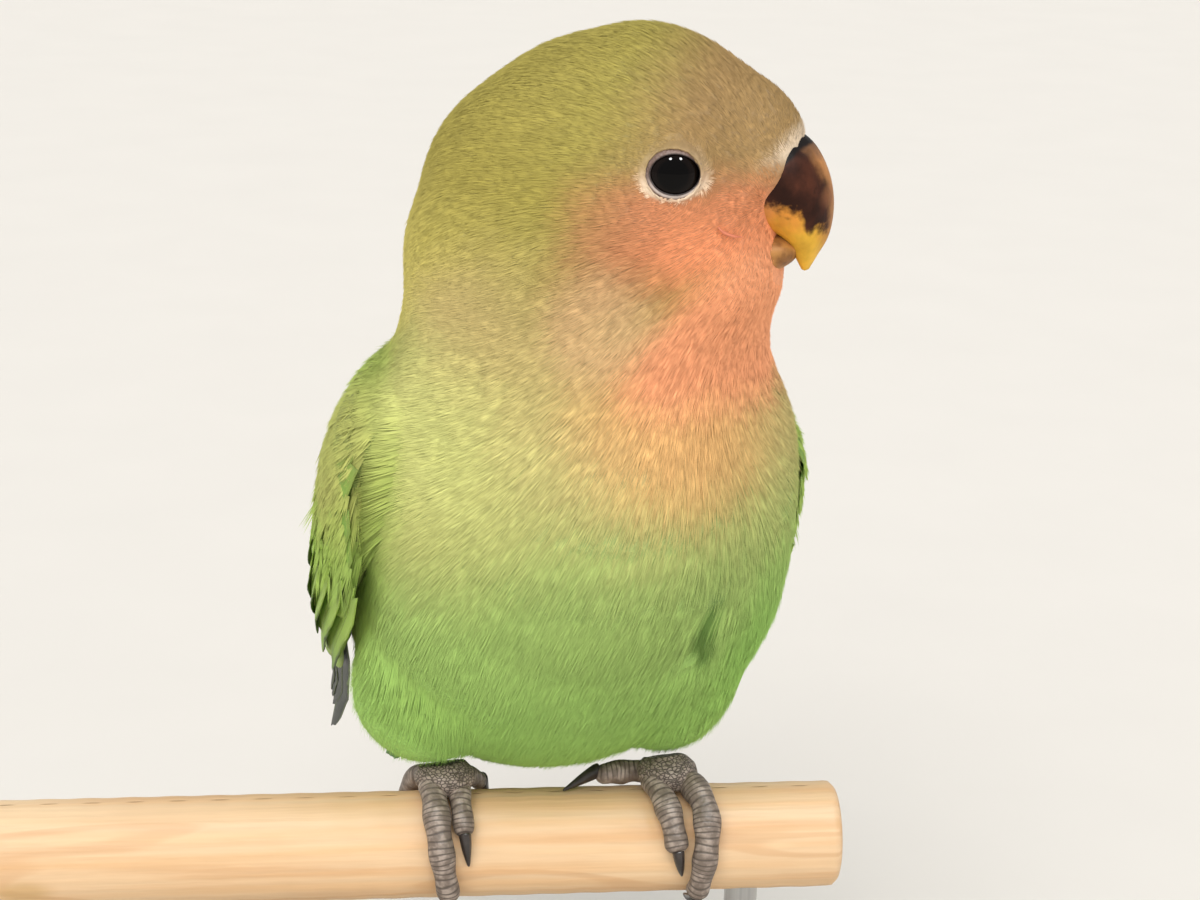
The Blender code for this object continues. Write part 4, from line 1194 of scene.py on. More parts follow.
def tail_shade(finish, across, along, vary):
    tint = bpy.context.scene.lovebird_colours
    outer = vary.rise(0.2, 0.5)
    patch = along.rise(0.42, 0.5) * along.rise(0.68, 0.6) * outer
    bar = along.rise(0.64, 0.69) * along.rise(0.84, 0.78) * outer
    shade = finish.mix(along.rise(0.8, 1.0), tint.tail, rgb(100, 150, 122))
    shade = finish.mix(patch * (0.35 + across.rise(-0.1, 0.2) * 0.6), shade, tint.tail_patch)
    return finish.mix(bar * 0.85, shade, rgb(26, 30, 30))


def rump_shade(finish, across, along, vary):
    tint = bpy.context.scene.lovebird_colours
    return finish.mix(along.rise(0.5, 1.0) * 0.5, tint.rump, rgb(104, 160, 136))


def vent_shade(finish, across, along, vary):
    tint = bpy.context.scene.lovebird_colours
    return finish.mix(along.rise(0.3, 1.0), tint.flank, rgb(160, 188, 104))


def build_wings():
    chance = random.Random(23)
    arm = Finish("Wing arm", roughness=0.7)
    arm.colour(arm.mix(arm.noise(arm.place(), 300.0), rgb(104, 124, 54), rgb(134, 152, 72)))
    arm.bump(arm.noise(arm.place(), 900.0), 0.0003)
    covert = vane_finish("Wing coverts", covert_shade)
    flight = vane_finish("Primaries", flight_shade, 0.42)
    second = vane_finish("Secondaries", secondary_shade, 0.46)
    edge = vane_finish("Edge feathers", edge_shade)
    finishes = {"primaries": flight, "secondaries": second, "edge_feathers": edge}
    for name, side in SIDES.items():
        unwrap(show(f"wing_arm_{name}", wing_arm(side), arm, "plumage_wing", f"wing_{name}"))
        for tier, values in WING_TIERS.items():
            mesh = wing_feathers(side, values, chance)
            show(f"{tier}_{name}", mesh, finishes.get(tier, covert), "plumage_wing")


def tail_point(along, left, back):
    """A place given from the tail's root in millimetres: towards its tip, left and back."""
    turn = Matrix.Rotation(TAIL_LIFT, 3, LEFT)
    start = body_point(TAIL_ROOT, 0, 2.5)
    return start + turn @ (-ALONG * along + LEFT * left + BACK * back) * MM


def tail_feathers(tier, chance):
    """One fan of the tail, highest or lowest in its middle."""
    bm = bmesh.new()
    for k in range(tier["count"]):
        share = 2 * k / (tier["count"] - 1) - 1
        angle = math.radians(tier["fan"]) * share
        size = (tier["length"] - tier["shorter"] * abs(share) ** 1.5) * chance.uniform(0.97, 1.02)
        rise = tier["height"] + tier["step"] * abs(share) * (tier["count"] - 1) / 2

        def place(t, across, up):
            out = tier["spread"] * share + math.sin(angle) * size * t + across * math.cos(angle)
            droop = tier["tilt"] * across * math.copysign(1, share)
            back = rise - droop + up * math.copysign(1, tier["height"])
            return tail_point(tier["root"] + size * t, out, back)

        add_vane(bm, place, tier["half_width"], chance, 0.5, abs(share))
    return thin(bm)


def build_tail():
    chance = random.Random(5)
    core = Finish("Tail root", roughness=0.7)
    core.colour(core.mix(core.noise(core.place(), 300.0), rgb(60, 120, 150), rgb(80, 140, 120)))
    turn = Matrix((LEFT, -ALONG, BACK)).transposed().to_4x4()
    bm = bmesh.new()
    bmesh.ops.create_uvsphere(bm, u_segments=32, v_segments=20, radius=1.0)
    size = Matrix.Diagonal((8.2 * MM, 9.5 * MM, 4.6 * MM, 1.0))
    bmesh.ops.transform(bm, matrix=Matrix.Translation(tail_point(-1, 0, 0)) @ turn @ size, verts=bm.verts)
    show("tail_root", mesh_of(bm), core, "plumage_tail", "tail")
    finishes = {
        "tail_feathers": vane_finish("Tail feathers", tail_shade, 0.45),
        "upper_tail_coverts": vane_finish("Upper tail coverts", rump_shade),
        "under_tail_coverts": vane_finish("Under tail coverts", vent_shade),
    }
    for name, tier in TAIL_TIERS.items():
        show(name, tail_feathers(tier, chance), finishes[name], "plumage_tail")


# Head

def eye_seat(name):
    """Middle and radius of an eye, and the turn whose Z axis looks out of the head."""
    low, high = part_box(f"eye_{name}")
    side = SIDES[name]
    look = (EYE_LOOK[0] * FORWARDS + side * EYE_LOOK[1] * SIDEWAYS + EYE_LOOK[2] * UP).normalized()
    across = FORWARDS - look * FORWARDS.dot(look)
    across.normalize()
    turn = Matrix((across, look.cross(across), look)).transposed()
    return (low + high) / 2, (high.z - low.z) / 2, turn


def build_eyes():
    tint = bpy.context.scene.lovebird_colours
    glass = Finish("Eye", roughness=0.03, specular_ior_level=0.16, ior=1.4)
    lids = Finish("Lid", roughness=0.55)
    pores = lids.noise(lids.place(), 2600.0, 3.0)
    rim, around = lids.part(lids.uv("Vane"), 1), lids.part(lids.uv("Vane"), 0)
    shade = lids.mix(pores, rgb(112, 88, 78), tint.lid)
    shade = lids.mix(rim.rise(0.16, 0.06), shade, rgb(38, 28, 25))
    # A painted highlight: the bright wet line along the inner edge of the lower lid
    wet_highlight = rim.rise(0.10, 0.14) * rim.rise(0.22, 0.17) * around.rise(0.5, 0.62) * around.rise(1.0, 0.9)
    lids.colour(lids.mix(wet_highlight * 0.7, shade, rgb(216, 206, 200)))
    lids.bump(pores, 0.00022)
    place = glass.place()
    shade = rgb(5, 4, 4)
    for name in SIDES:
        middle, radius, turn = eye_seat(name)
        off_axis = place.less(middle + turn.col[2] * radius).size() * 1000
        shade = glass.mix(off_axis.rise(3.0, 2.2) * off_axis.rise(1.5, 1.9), shade, rgb(16, 10, 8))
        bm = bmesh.new()
        bmesh.ops.create_uvsphere(bm, u_segments=48, v_segments=32, radius=radius)
        matrix = Matrix.Translation(middle) @ turn.to_4x4()
        bmesh.ops.transform(bm, matrix=matrix, verts=bm.verts)
        show(f"eye_{name}", mesh_of(bm), glass, "eye", f"eye_{name}")
        show(f"lids_{name}", lid_mesh(matrix, radius), lids, "plumage_head")
    glass.colour(shade)


def lid_mesh(matrix, radius):
    """Upper and lower lid as one soft rim, drawn out to a corner behind the eye, beaded along its edge."""
    chance = random.Random(3)
    around_steps = 96
    beads = [chance.uniform(-1, 1) for _ in range(around_steps + 1)]

    def place(u, v):
        ring, around = math.tau * u, math.tau * v
        corner = max(0.0, -math.cos(ring)) ** 14
        front = max(0.0, math.cos(ring)) ** 20
        below = max(0.0, -math.sin(ring))
        inner = Vector((0.2 + 2.5 * math.cos(ring), 2.02 * math.sin(ring), 0))
        wide, tall = 3.55 + 0.4 * corner - 0.2 * front, 3.3 + 0.1 * below
        outer = Vector((wide * math.cos(ring), tall * math.sin(ring), 0))
        share = 0.5 - 0.5 * math.cos(around)
        spot = inner.lerp(outer, share)
        rest = math.sqrt(max((radius / MM) ** 2 - spot.length_squared, 3.2))
        swell = 0.36 + 0.05 * beads[int(u * around_steps)] - 0.1 * corner
        fall = 2.6 * max(0.0, share - 0.45) ** 1.5 * (1 + 1.4 * max(0.0, math.cos(ring)))
        over = rest + 0.05 - fall + swell * math.sin(around)
        return matrix @ Vector((spot.x * MM, spot.y * MM, over * MM))

    bm = bmesh.new()
    sheet(bm, around_steps, 16, place)
    return mesh_of(bm)


def bill_mesh(rows, steps, sides, ridge):
    """Half of the bill as one smooth closed shape, with a rounded ridge."""
    def place(u, v):
        ridge_f, ridge_u, edge_f, edge_u, width = curved(rows, v)
        angle = math.tau * u
        c = math.cos(angle)
        across = math.sin(angle)
        slim = 1 - ridge * max(0.0, c) ** 3
        end = opening(v)
        forwards = (ridge_f + edge_f) / 2 + (ridge_f - edge_f) / 2 * c * end
        up = (ridge_u + edge_u) / 2 + (ridge_u - edge_u) / 2 * c * end
        return head_point(forwards, width * across * slim * end, up)

    bm = bmesh.new()
    sheet(bm, sides, steps, place)
    return mesh_of(bm)


def build_bill():
    tint = bpy.context.scene.lovebird_colours
    upper = bill_mesh(UPPER_BILL, 48, 48, 0.30)
    for vert in upper.vertices:
        for side in SIDES.values():
            forwards, out, up = NOSTRIL
            near = (vert.co - head_point(forwards, side * out, up)).length / MM
            if near < 1.0:
                vert.co -= vert.normal * 0.5 * MM * (1 - near) ** 0.5
    horn = Finish("Bill horn", roughness=0.45, specular_ior_level=0.12)
    place = horn.place()
    cloudy = horn.noise(place, 280.0, 4.0) - 0.5
    fine = horn.noise(place, 1100.0, 3.0) - 0.5
    lines = horn.noise(place, 500.0, 3.0, stretch=(1, 1, 0.25)) - 0.5
    head = place.less(HEAD_CENTRE)
    forwards = head.along(FORWARDS) * 1000 + cloudy * 2.0 + fine * 1.2
    up = head.along(UP) * 1000 + cloudy * 2.0 + fine * 1.2
    # Dark sides, the warmer base behind them, the tan ridge, and the dark top under the forehead
    ridge = abs(horn.part(horn.uv("Vane"), 0) - 0.5) + cloudy * 0.08 + fine * 0.04
    shade = horn.mix(cloudy.rise(-0.15, 0.25) * 0.7, tint.bill_dark, rgb(100, 54, 36))
    shade = horn.mix(fine.rise(0.05, 0.3) * 0.5, shade, rgb(34, 18, 13))
    base = (forwards * 0.8 - up * 0.5).rise(12.6, 10.8) * up.rise(7.0, 4.5)
    shade = horn.mix(base * 0.7, shade, rgb(132, 78, 54))
    shade = horn.mix(ridge.rise(0.395, 0.475) * up.rise(10.4, 8.8) * 0.9, shade, tint.bill_ridge)
    glow = place.less(head_point(23.6, 0, 2.8)).stretched((1, 0.3, 0.9)).size() * 1000
    shade = horn.mix((glow + cloudy * 1.6).rise(1.4, 0.3) * 0.6, shade, rgb(156, 100, 66))
    cere = (up + forwards * 0.3).rise(13.6, 15.0)
    shade = horn.mix(cere * 0.7, shade, rgb(74, 58, 52))
    top = (up - forwards * 0.9 + cloudy * 2).rise(-12.0, -11.2) * up.rise(4.5, 6.5)
    shade = horn.mix(top, shade, rgb(24, 19, 18))
    # The yellow cutting edge, whose border falls in a ragged step, and its amber ends
    border = (67.6 - forwards * 3.0).up_to(8.7 - forwards * 0.34).at_least(-0.7)
    edge = (border - up + fine * 4.5 + cloudy * 1.5).rise(-0.7, 0.8)
    amber = horn.mix((up + cloudy * 3.0).rise(1.6, -1.6), rgb(214, 144, 60), tint.bill_edge)
    amber = horn.mix((forwards + up * 0.2).rise(22.6, 24.4) * 0.75, amber, rgb(184, 122, 58))
    amber = horn.mix((forwards - up * 0.5).rise(19.6, 17.6) * 0.7, amber, rgb(206, 140, 84))
    shade = horn.mix(edge, shade, amber)
    # The nostrils: painted shade, near black, over the shallow pits sunk in the horn
    for side in SIDES.values():
        pit = place.less(head_point(NOSTRIL[0], side * NOSTRIL[1], NOSTRIL[2])).size() * 1000
        shade = horn.mix(pit.rise(0.75, 0.45), shade, rgb(18, 12, 10))
    horn.colour(horn.lit(shade, 0.94 + lines * 0.9 + fine * 0.3))
    horn.bump(lines + cloudy * 0.5, 0.0001)
    show("bill_upper", upper, horn, "bill_horn", "bill_upper")
    lower = Finish("Lower bill horn", roughness=0.5, specular_ior_level=0.2)
    soft = lower.noise(lower.place(), 500.0, 4.0)
    lower.colour(lower.mix(soft.rise(0.3, 0.7), rgb(112, 72, 42), rgb(178, 128, 70)))
    lower.bump(soft, 0.0001)
    show("bill_lower", bill_mesh(LOWER_BILL, 24, 32, 0.0), lower, "bill_horn", "bill_lower")


def build_gapes():
    """The small pale fold of skin at each corner of the mouth."""
    fold = Finish("Gape", roughness=0.5)
    fold.colour(fold.mix(fold.noise(fold.place(), 1200.0), rgb(200, 106, 76), rgb(228, 142, 108)))
    fold.bump(fold.noise(fold.place(), 2400.0), 0.00006)
    skin = tree_of(bpy.data.objects["skin"].data)
    for name, side in SIDES.items():
        path = []
        for i in range(GAPE_STEPS + 1):
            forwards, up = curved(GAPE_LINE, i / GAPE_STEPS)
            start, way = head_point(forwards, side * 30, up), -side * SIDEWAYS
            spot, normal, _, _ = skin.ray_cast(start, way)
            path.append((spot + normal * 0.48 * MM, normal))

        def place(u, v):
            i = min(int(v * GAPE_STEPS), GAPE_STEPS)
            spot, normal = path[i]
            way = (path[min(i + 1, GAPE_STEPS)][0] - path[max(i - 1, 0)][0]).normalized()
            across = way.cross(normal).normalized()
            size = (0.03 + 0.15 * math.sin(math.pi * v)) * MM
            turn = math.tau * u
            return spot + (across * math.cos(turn) + normal * math.sin(turn)) * size * opening(v)

        bm = bmesh.new()
        sheet(bm, 12, GAPE_STEPS, place)
        show(f"gape_{name}", mesh_of(bm), fold, "plumage_head")


# Feet

def over_perch(x, angle, clearance):
    """A place round the dowel: along it, an angle from its top to the front, over its surface."""
    reach = PERCH_RADIUS + clearance * MM
    return UNDER_BIRD + Vector((x * MM, -reach * math.sin(angle), reach * math.cos(angle)))


def outwards_at(angle):
    """Straight out of the dowel, at an angle from its top to the front."""
    return Vector((0, -math.sin(angle), math.cos(angle)))


def toe_mesh(rows, chance):
    """A toe with raised scutes on top and soft pads below."""
    spots = [curved(rows, i / TOE_STEPS) for i in range(TOE_STEPS + 1)]
    path = [over_perch(x, math.radians(angle), TOE_GAP + radius) for angle, x, radius in spots]
    steps = [0.0]
    for a, b in zip(path, path[1:]):
        steps.append(steps[-1] + (b - a).length / MM)
    total = steps[-1]
    rings = int(total / 0.1)
    shift = chance.uniform(0, math.tau)

    def scute(u, at):
        """How many scutes lie behind a place on the toe."""
        drift = 0.35 * math.sin(at * 1.3 + shift) + 0.12 * math.sin(math.tau * u * 2 + at * 2.1 + shift)
        return at / SCUTE + drift

    def place(u, v):
        at = total * v
        share = float(np.interp(at, steps, np.linspace(0, 1, TOE_STEPS + 1)))
        angle, x, radius = curved(rows, share)
        ahead, behind = curved(rows, min(1, share + 0.01)), curved(rows, max(0, share - 0.01))
        way = over_perch(ahead[1], math.radians(ahead[0]), TOE_GAP + ahead[2])
        way = (way - over_perch(behind[1], math.radians(behind[0]), TOE_GAP + behind[2])).normalized()
        out = outwards_at(math.radians(angle))
        across = way.cross(out).normalized()
        turn = math.tau * u
        top = max(0.0, math.cos(turn))
        phase = scute(u, at) % 1.0
        plate = 0.055 * (1 - (2 * phase - 1) ** 6) * top ** 0.4 - 0.02
        joint = 0.07 * math.cos(math.tau * at / 4.6 + shift)
        pad = joint + 0.05 * math.cos(math.tau * at / 2.3) * max(0.0, -math.cos(turn))
        end = math.sqrt(max(0.0, 1 - (max(0.0, at - total + 1.1) / 1.1) ** 2.4))
        start = math.sqrt(max(0.0, 1 - (max(0.0, 1.0 - at) / 1.0) ** 2))
        size = (radius * (1 + pad) + plate) * min(end, start)
        centre = over_perch(x, math.radians(angle), TOE_GAP + radius)
        return centre + (out * math.cos(turn) * 0.97 + across * math.sin(turn)) * size * MM

    bm = bmesh.new()
    sheet(bm, 28, rings, place, "Scutes")
    scutes = bm.loops.layers.uv["Scutes"]
    for face in bm.faces:
        for loop in face.loops:
            u, v = loop[scutes].uv
            loop[scutes].uv = (u, scute(u, total * v))
    return mesh_of(bm)


def claw_mesh(rows, tip):
    """A claw that starts inside the end of its toe and curves to its tip."""
    angle, x, radius = rows[-1]
    tip_angle, tip_x = tip

    def place(u, v):
        share = -0.12 + 1.12 * v
        size = CLAW_RADIUS + (CLAW_TIP - CLAW_RADIUS) * max(share, 0.0) ** 1.3
        rise = TOE_GAP + size + radius * 0.62 * max(0.0, 1 - share) ** 1.3
        at = math.radians(spread((angle, tip_angle), share))
        centre = over_perch(spread((x, tip_x), share), at, rise)
        ahead = share + 0.02
        way = over_perch(spread((x, tip_x), ahead), math.radians(spread((angle, tip_angle), ahead)), rise)
        way = (way - centre).normalized()
        out = outwards_at(at)
        across = way.cross(out).normalized()
        turn = math.tau * u
        around = out * math.cos(turn) * 1.08 + across * math.sin(turn) * 0.85
        return centre + around * size * opening(v) * MM

    bm = bmesh.new()
    sheet(bm, 20, 24, place)
    return mesh_of(bm)


def build_feet():
    tint = bpy.context.scene.lovebird_colours
    chance = random.Random(9)
    skin = Finish("Scaly toes", roughness=0.5)
    around = abs(skin.part(skin.uv("Scutes"), 0) - 0.5)
    phase = skin.part(skin.uv("Scutes"), 1).fraction()
    worn = skin.noise(skin.place(), 900.0, 3.0)
    fine = skin.noise(skin.place(), 2600.0, 2.0)
    crease = phase.rise(0.74, 0.95).at_least(phase.rise(0.22, 0.04)) * around.rise(0.1, 0.3)
    shade = skin.mix(worn, rgb(102, 88, 78), tint.foot)
    shade = skin.mix(worn.rise(0.4, 0.7) * 0.7, shade, tint.scute)
    shade = skin.mix(crease * (0.5 + worn * 0.5), shade, rgb(66, 56, 49))
    skin.colour(skin.lit(shade, 0.84 + fine * 0.3))
    skin.bump(worn * 0.5 + fine * 0.6, 0.00015)
    shank = Finish("Scaly shanks", roughness=0.55)
    settings = {"feature": "DISTANCE_TO_EDGE"}
    values = {"Vector": shank.place().stretched((1, 1, 1.5)), "Scale": 1900.0}
    plates = shank.node("ShaderNodeTexVoronoi", settings, values)
    gaps = plates.rise(0.14, 0.02)
    shade = shank.mix(shank.noise(shank.place(), 700.0), rgb(112, 98, 86), tint.scute)
    shank.colour(shank.mix(gaps * 0.75, shade, rgb(72, 62, 54)))
    shank.bump(1.0 - gaps, 0.0002)
    horn = Finish("Claw horn", roughness=0.3, coat_weight=0.2)
    streaks = horn.noise(horn.place(), 900.0, 3.0)
    horn.colour(horn.mix(streaks, rgb(18, 15, 15), rgb(66, 58, 54)))
    horn.bump(streaks, 0.00008)
    for name in SIDES:
        for toe, (rows, tip) in TOES[name].items():
            label = f"toe_{name}_{toe}"
            show(label, toe_mesh(rows, chance), skin, "foot_skin", label)
            label = f"claw_{name}_{toe}"
            show(label, claw_mesh(rows, tip), horn, "claw_horn", label)
        leg = melted(mesh_of(swollen(f"leg_{name}", 0.3 * MM)), 0.22 * MM, 6)
        show(f"leg_{name}", leg, shank, "foot_skin", f"leg_{name}")


# Dowel, stand and stage

def build_perch():
    tint = bpy.context.scene.lovebird_colours
    low, high = PERCH_LOW.x, PERCH_HIGH.x
    edge = 0.6 * MM
    # The share of the rows that closes each sawn end
    first, last = 0.02, 0.98

    def place(u, v):
        share = min(max((v - first) / 0.96, 0.0), 1.0)
        x = low + (high - low) * share
        size = PERCH_RADIUS
        if v < first:
            size = (PERCH_RADIUS - edge) * v / 0.02
        if v > last:
            size = (PERCH_RADIUS - edge) * (1 - v) / 0.02
        near = min(x - low, high - x)
        if first <= v <= last and near < edge:
            size -= edge * (1 - near / edge)
        size -= 0.03 * MM * (1 + math.sin(9 * u + 130 * share)) * min(1.0, near / edge)
        turn = math.tau * u
        return Vector((x, PERCH_MIDDLE.y + size * math.sin(turn), PERCH_MIDDLE.z + size * math.cos(turn)))

    bm = bmesh.new()
    sheet(bm, 96, 200, place)
    wood = Finish("Pine dowel", roughness=0.55)
    spot = wood.place()
    grain = wood.noise(spot, 420.0, 4.0, stretch=(0.05, 1, 1))
    rings = wood.noise(spot, 130.0, 2.0, stretch=(0.035, 1, 1))
    bands = (rings * 46.0).wave() * 0.5 + 0.5
    blotch = wood.noise(spot, 60.0, 2.0, stretch=(0.35, 1, 1))
    shade = wood.mix(bands * 0.38, tint.wood, rgb(222, 172, 116))
    shade = wood.mix(grain.rise(0.52, 0.72) * 0.5, shade, rgb(208, 158, 108))
    shade = wood.mix(blotch.rise(0.5, 0.75) * 0.35, shade, rgb(250, 226, 186))
    year = (wood.noise(spot, 75.0, 2.0, stretch=(0.12, 1, 1)) * 30.0).wave()
    shade = wood.mix(year.rise(0.86, 1.0) * 0.35, shade, rgb(198, 146, 96))
    fibres = wood.noise(spot, 1500.0, 2.0, stretch=(0.04, 1, 1))
    worn = (low + 6 * MM, PERCH_LOW.y + 0.5 * MM, PERCH_MIDDLE.z - 2 * MM)
    scar = spot.less(worn).stretched((0.45, 1, 1))
    shade = wood.mix((scar.size() * 1000).rise(2.2, 0.6) * 0.7, shade, rgb(196, 158, 104))
    wood.colour(wood.lit(shade, 0.9 + fibres * 0.2))
    wood.bump(fibres * 0.6 + grain * 0.6, 0.00016)
    show("dowel", mesh_of(bm), wood, "perch_wood", "perch")


def build_stand():
    values, tint = bpy.context.scene.lovebird_stand, bpy.context.scene.lovebird_colours
    low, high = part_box("stand_base")
    size, middle = high - low, (high + low) / 2
    bm = bmesh.new()
    bmesh.ops.create_cube(bm, size=1.0)
    bmesh.ops.scale(bm, vec=size, verts=bm.verts)
    bmesh.ops.translate(bm, vec=middle, verts=bm.verts)
    upright = [e for e in bm.edges if abs(e.verts[0].co.z - e.verts[1].co.z) > size.z / 2]
    rounded = {"profile": 0.5, "affect": "EDGES", "material": -1}
    bmesh.ops.bevel(bm, geom=upright, offset=values.corner, segments=14, **rounded)
    top = [e for e in bm.edges if all(v.co.z > low.z + size.z * 0.9 for v in e.verts)]
    bmesh.ops.bevel(bm, geom=top, offset=values.edge, segments=5, **rounded)
    bottom = [e for e in bm.edges if all(v.co.z < low.z + size.z * 0.1 for v in e.verts)]
    bmesh.ops.bevel(bm, geom=bottom, offset=0.3 * MM, segments=2, **rounded)
    paint = Finish("Powder coat", roughness=0.5)
    speckle = paint.noise(paint.place(), 2200.0, 2.0)
    paint.colour(paint.lit(tint.plate, 0.94 + speckle * 0.12))
    paint.bump(speckle, 0.00008)
    base = show("base_plate", mesh_of(bm), paint, "stand_paint", "stand_base")
    base.data.set_sharp_from_angle(angle=math.radians(30))
    steel = Finish("Drawn steel", metallic=1.0, roughness=0.3)
    drawn = steel.noise(steel.place(), 1500.0, 2.0, stretch=(1, 1, 0.02))
    steel.colour(steel.mix(drawn, rgb(150, 150, 150), rgb(206, 204, 200)))
    steel.roughness(drawn * 0.2 + 0.22)
    for name in SIDES:
        low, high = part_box(f"stand_rod_{name}")
        radius = (high.x - low.x) / 2
        bm = bmesh.new()
        tall = high.z - low.z
        bmesh.ops.create_cone(bm, cap_ends=True, segments=48, radius1=radius, radius2=radius, depth=tall)
        rims = [e for e in bm.edges if abs(e.verts[0].co.z - e.verts[1].co.z) < 1e-6]
        bmesh.ops.bevel(bm, geom=rims, offset=0.2 * MM, segments=2, **rounded)
        bmesh.ops.translate(bm, vec=(low + high) / 2, verts=bm.verts)
        rod = show(f"rod_{name}", mesh_of(bm), steel, "rod_steel", f"stand_rod_{name}")
        rod.data.set_sharp_from_angle(angle=math.radians(40))


def add_sun(name, way, angle, strength, shade=(1, 1, 1)):
    """A wide soft light from afar, kept out of the mirror of the eyes."""
    light = bpy.data.lights.new(name, "SUN")
    light.angle = math.radians(angle)
    light.energy = strength
    light.color = shade
    made = bpy.data.objects.new(name, light)
    bpy.context.scene.collection.objects.link(made)
    made.rotation_euler = Vector(way).to_track_quat("Z", "Y").to_euler()
    made.visible_glossy = False


def add_glint(name, way, target):
    """A small lamp that shows as a spark in the eye."""
    light = bpy.data.lights.new(name, "AREA")
    light.shape = "DISK"
    light.size = GLINT_SIZE
    light.energy = GLINT_POWER
    made = bpy.data.objects.new(name, light)
    bpy.context.scene.collection.objects.link(made)
    made.location = target + way * GLINT_FAR
    made.visible_diffuse = False
    made.rotation_euler = (made.location - target).to_track_quat("Z", "Y").to_euler()


def build_stage():
    scene = bpy.context.scene
    tint, values = scene.lovebird_colours, scene.lovebird_stand
    bm = bmesh.new()
    bmesh.ops.create_circle(bm, cap_ends=True, segments=64, radius=6.0)
    paper = Finish("Pale floor", roughness=0.85)
    paper.colour(paper.lit(tint.floor, 0.98 + paper.noise(paper.place(), 30.0) * 0.04))
    mesh = mesh_of(bm)
    mesh.materials.append(paper.material)
    floor = bpy.data.objects.new("floor", mesh)
    scene.collection.objects.link(floor)
    world = bpy.data.worlds.new("Soft room")
    world.use_nodes = True
    background = world.node_tree.nodes["Background"]
    background.inputs["Color"].default_value = (*rgb(240, 240, 238), 1.0)
    background.inputs["Strength"].default_value = 0.68
    scene.world = world
    scene.view_settings.view_transform = "Standard"
    add_sun("key", (-0.3, -0.85, 0.85), 40, 1.9, (1.0, 0.98, 0.95))
    add_sun("front", (0.5, -1.0, -0.05), 60, 1.15, (1.0, 0.99, 0.97))
    add_sun("left", (-1.0, 0.1, 0.3), 60, 0.6)
    add_sun("back", (0.3, 0.8, 0.75), 60, 0.5)
    forward = Vector((
        math.sin(CAMERA_YAW) * math.cos(CAMERA_PITCH),
        math.cos(CAMERA_YAW) * math.cos(CAMERA_PITCH),
        -math.sin(CAMERA_PITCH),
    ))
    level = Vector((math.cos(CAMERA_YAW), -math.sin(CAMERA_YAW), 0))
    upright = level.cross(forward)
    right = level * math.cos(CAMERA_ROLL) + upright * math.sin(CAMERA_ROLL)
    top = upright * math.cos(CAMERA_ROLL) - level * math.sin(CAMERA_ROLL)
    camera = bpy.data.cameras.new("camera")
    camera.lens = values.lens
    camera.sensor_width = SENSOR_WIDTH
    camera.clip_start = 0.01
    holder = bpy.data.objects.new("camera", camera)
    turn = Matrix((right, top, -forward)).transposed().to_4x4()
    holder.matrix_world = Matrix.Translation(CAMERA_PLACE) @ turn
    scene.collection.objects.link(holder)
    scene.camera = holder
    eye = eye_seat("right")[0]
    for name, way in (("left_glint", (-0.116, 0.573, 0.663)), ("right_glint", (0.396, 0.559, 0.543))):
        add_glint(name, right * way[0] + top * way[1] - forward * way[2], eye)


# Operators and panel

class LOVEBIRD_OT_stage(bpy.types.Operator):
    """Floor, lights and camera"""

    bl_idname = "lovebird.stage"
    bl_label = "Stage"

    def execute(self, context):
        build_stage()
        return {"FINISHED"}


class LOVEBIRD_OT_skin(bpy.types.Operator):
    """One skin for head, neck, torso and thighs"""

    bl_idname = "lovebird.skin"
    bl_label = "Skin"

    def execute(self, context):
        build_skin()
        return {"FINISHED"}


class LOVEBIRD_OT_wings(bpy.types.Operator):
    """Arm, flight feathers and coverts of both wings"""

    bl_idname = "lovebird.wings"
    bl_label = "Wings"

    def execute(self, context):
        build_wings()
        return {"FINISHED"}


class LOVEBIRD_OT_tail(bpy.types.Operator):
    """Root, tail feathers and coverts"""

    bl_idname = "lovebird.tail"
    bl_label = "Tail"

    def execute(self, context):
        build_tail()
        return {"FINISHED"}


class LOVEBIRD_OT_eyes(bpy.types.Operator):
    """Eyes and lids"""

    bl_idname = "lovebird.eyes"
    bl_label = "Eyes"

    def execute(self, context):
        build_eyes()
        return {"FINISHED"}


class LOVEBIRD_OT_bill(bpy.types.Operator):
    """Both halves of the bill"""

    bl_idname = "lovebird.bill"
    bl_label = "Bill"

    def execute(self, context):
        build_bill()
        return {"FINISHED"}


class LOVEBIRD_OT_gapes(bpy.types.Operator):
    """Folds of skin at the corners of the mouth"""

    bl_idname = "lovebird.gapes"
    bl_label = "Gapes"

    def execute(self, context):
        build_gapes()
        return {"FINISHED"}


class LOVEBIRD_OT_coat(bpy.types.Operator):
    """Tufts over the skin"""

    bl_idname = "lovebird.coat"
    bl_label = "Coat"

    def execute(self, context):
        build_coat()
        return {"FINISHED"}


class LOVEBIRD_OT_wing_coat(bpy.types.Operator):
    """Tufts on the fronts of the wings and the mantle"""

    bl_idname = "lovebird.wing_coat"
    bl_label = "Wing coat"

    def execute(self, context):
        build_wing_coat()
        return {"FINISHED"}


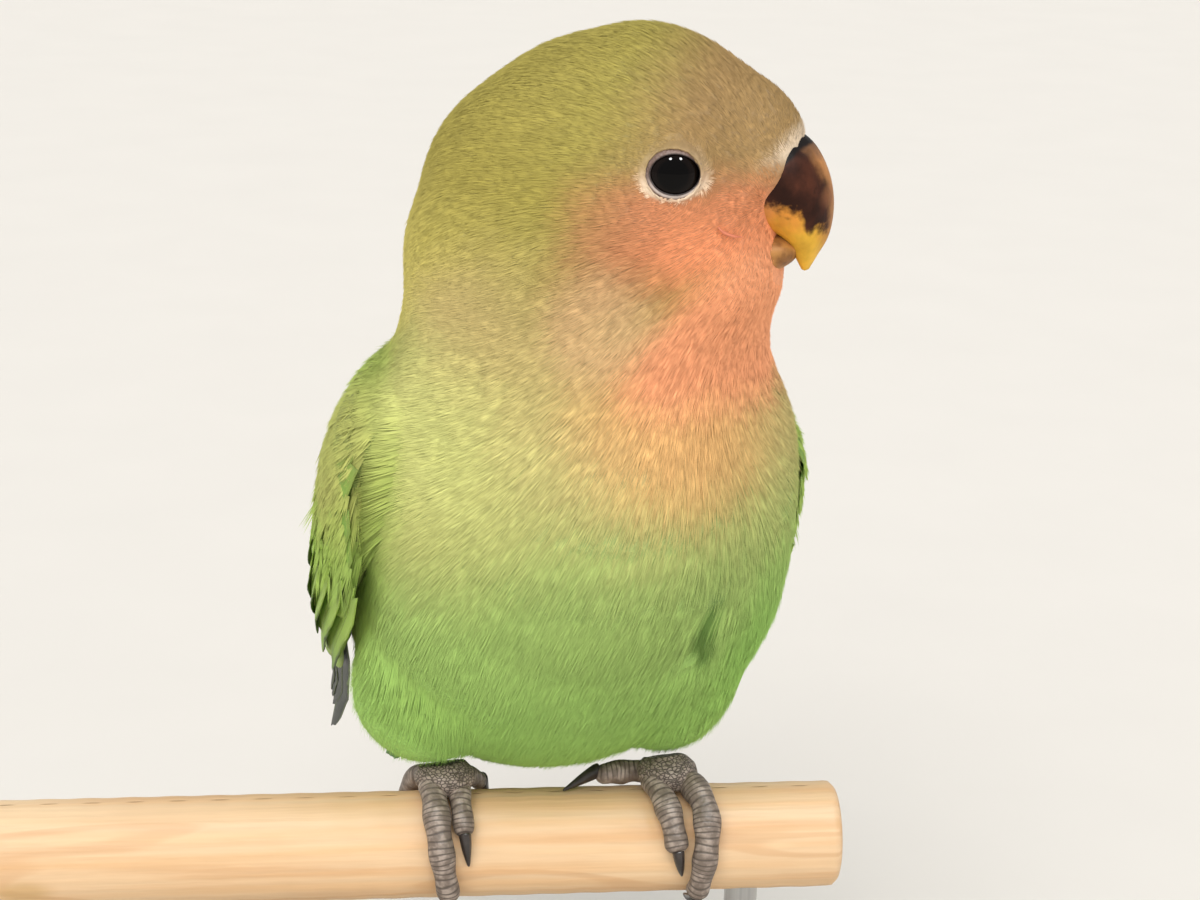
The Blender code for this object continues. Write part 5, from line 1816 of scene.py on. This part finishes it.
class LOVEBIRD_OT_feet(bpy.types.Operator):
    """Shanks, toes and claws"""

    bl_idname = "lovebird.feet"
    bl_label = "Feet"

    def execute(self, context):
        build_feet()
        return {"FINISHED"}


class LOVEBIRD_OT_perch(bpy.types.Operator):
    """The cut dowel"""

    bl_idname = "lovebird.perch"
    bl_label = "Dowel"

    def execute(self, context):
        build_perch()
        return {"FINISHED"}


class LOVEBIRD_OT_stand(bpy.types.Operator):
    """Base plate and rods"""

    bl_idname = "lovebird.stand"
    bl_label = "Stand"

    def execute(self, context):
        build_stand()
        return {"FINISHED"}


STEPS = (
    LOVEBIRD_OT_stage,
    LOVEBIRD_OT_skin,
    LOVEBIRD_OT_wings,
    LOVEBIRD_OT_tail,
    LOVEBIRD_OT_eyes,
    LOVEBIRD_OT_bill,
    LOVEBIRD_OT_gapes,
    LOVEBIRD_OT_coat,
    LOVEBIRD_OT_wing_coat,
    LOVEBIRD_OT_feet,
    LOVEBIRD_OT_perch,
    LOVEBIRD_OT_stand,
)


class LOVEBIRD_PT_panel(bpy.types.Panel):
    """Sizes, colours and steps of the lovebird"""

    bl_idname = "LOVEBIRD_PT_panel"
    bl_label = "Lovebird"
    bl_space_type = "VIEW_3D"
    bl_region_type = "UI"
    bl_category = "Lovebird"

    def draw(self, context):
        scene = context.scene
        for values in (scene.lovebird_coat, scene.lovebird_colours, scene.lovebird_stand):
            for name in values.__annotations__:
                self.layout.prop(values, name)
        for operator in STEPS:
            self.layout.operator(operator.bl_idname)


GROUPS = {"lovebird_coat": CoatValues, "lovebird_colours": Colours, "lovebird_stand": StandValues}
CLASSES = (*GROUPS.values(), *STEPS, LOVEBIRD_PT_panel)


def register():
    for item in CLASSES:
        bpy.utils.register_class(item)
    for name, group in GROUPS.items():
        setattr(bpy.types.Scene, name, PointerProperty(type=group))


def unregister():
    for name in GROUPS:
        delattr(bpy.types.Scene, name)
    for item in reversed(CLASSES):
        bpy.utils.unregister_class(item)


def main():
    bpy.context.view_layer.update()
    register()
    for operator in STEPS:
        name = operator.bl_idname.split(".")[1]
        getattr(bpy.ops.lovebird, name)()


if __name__ == "__main__":
    main()
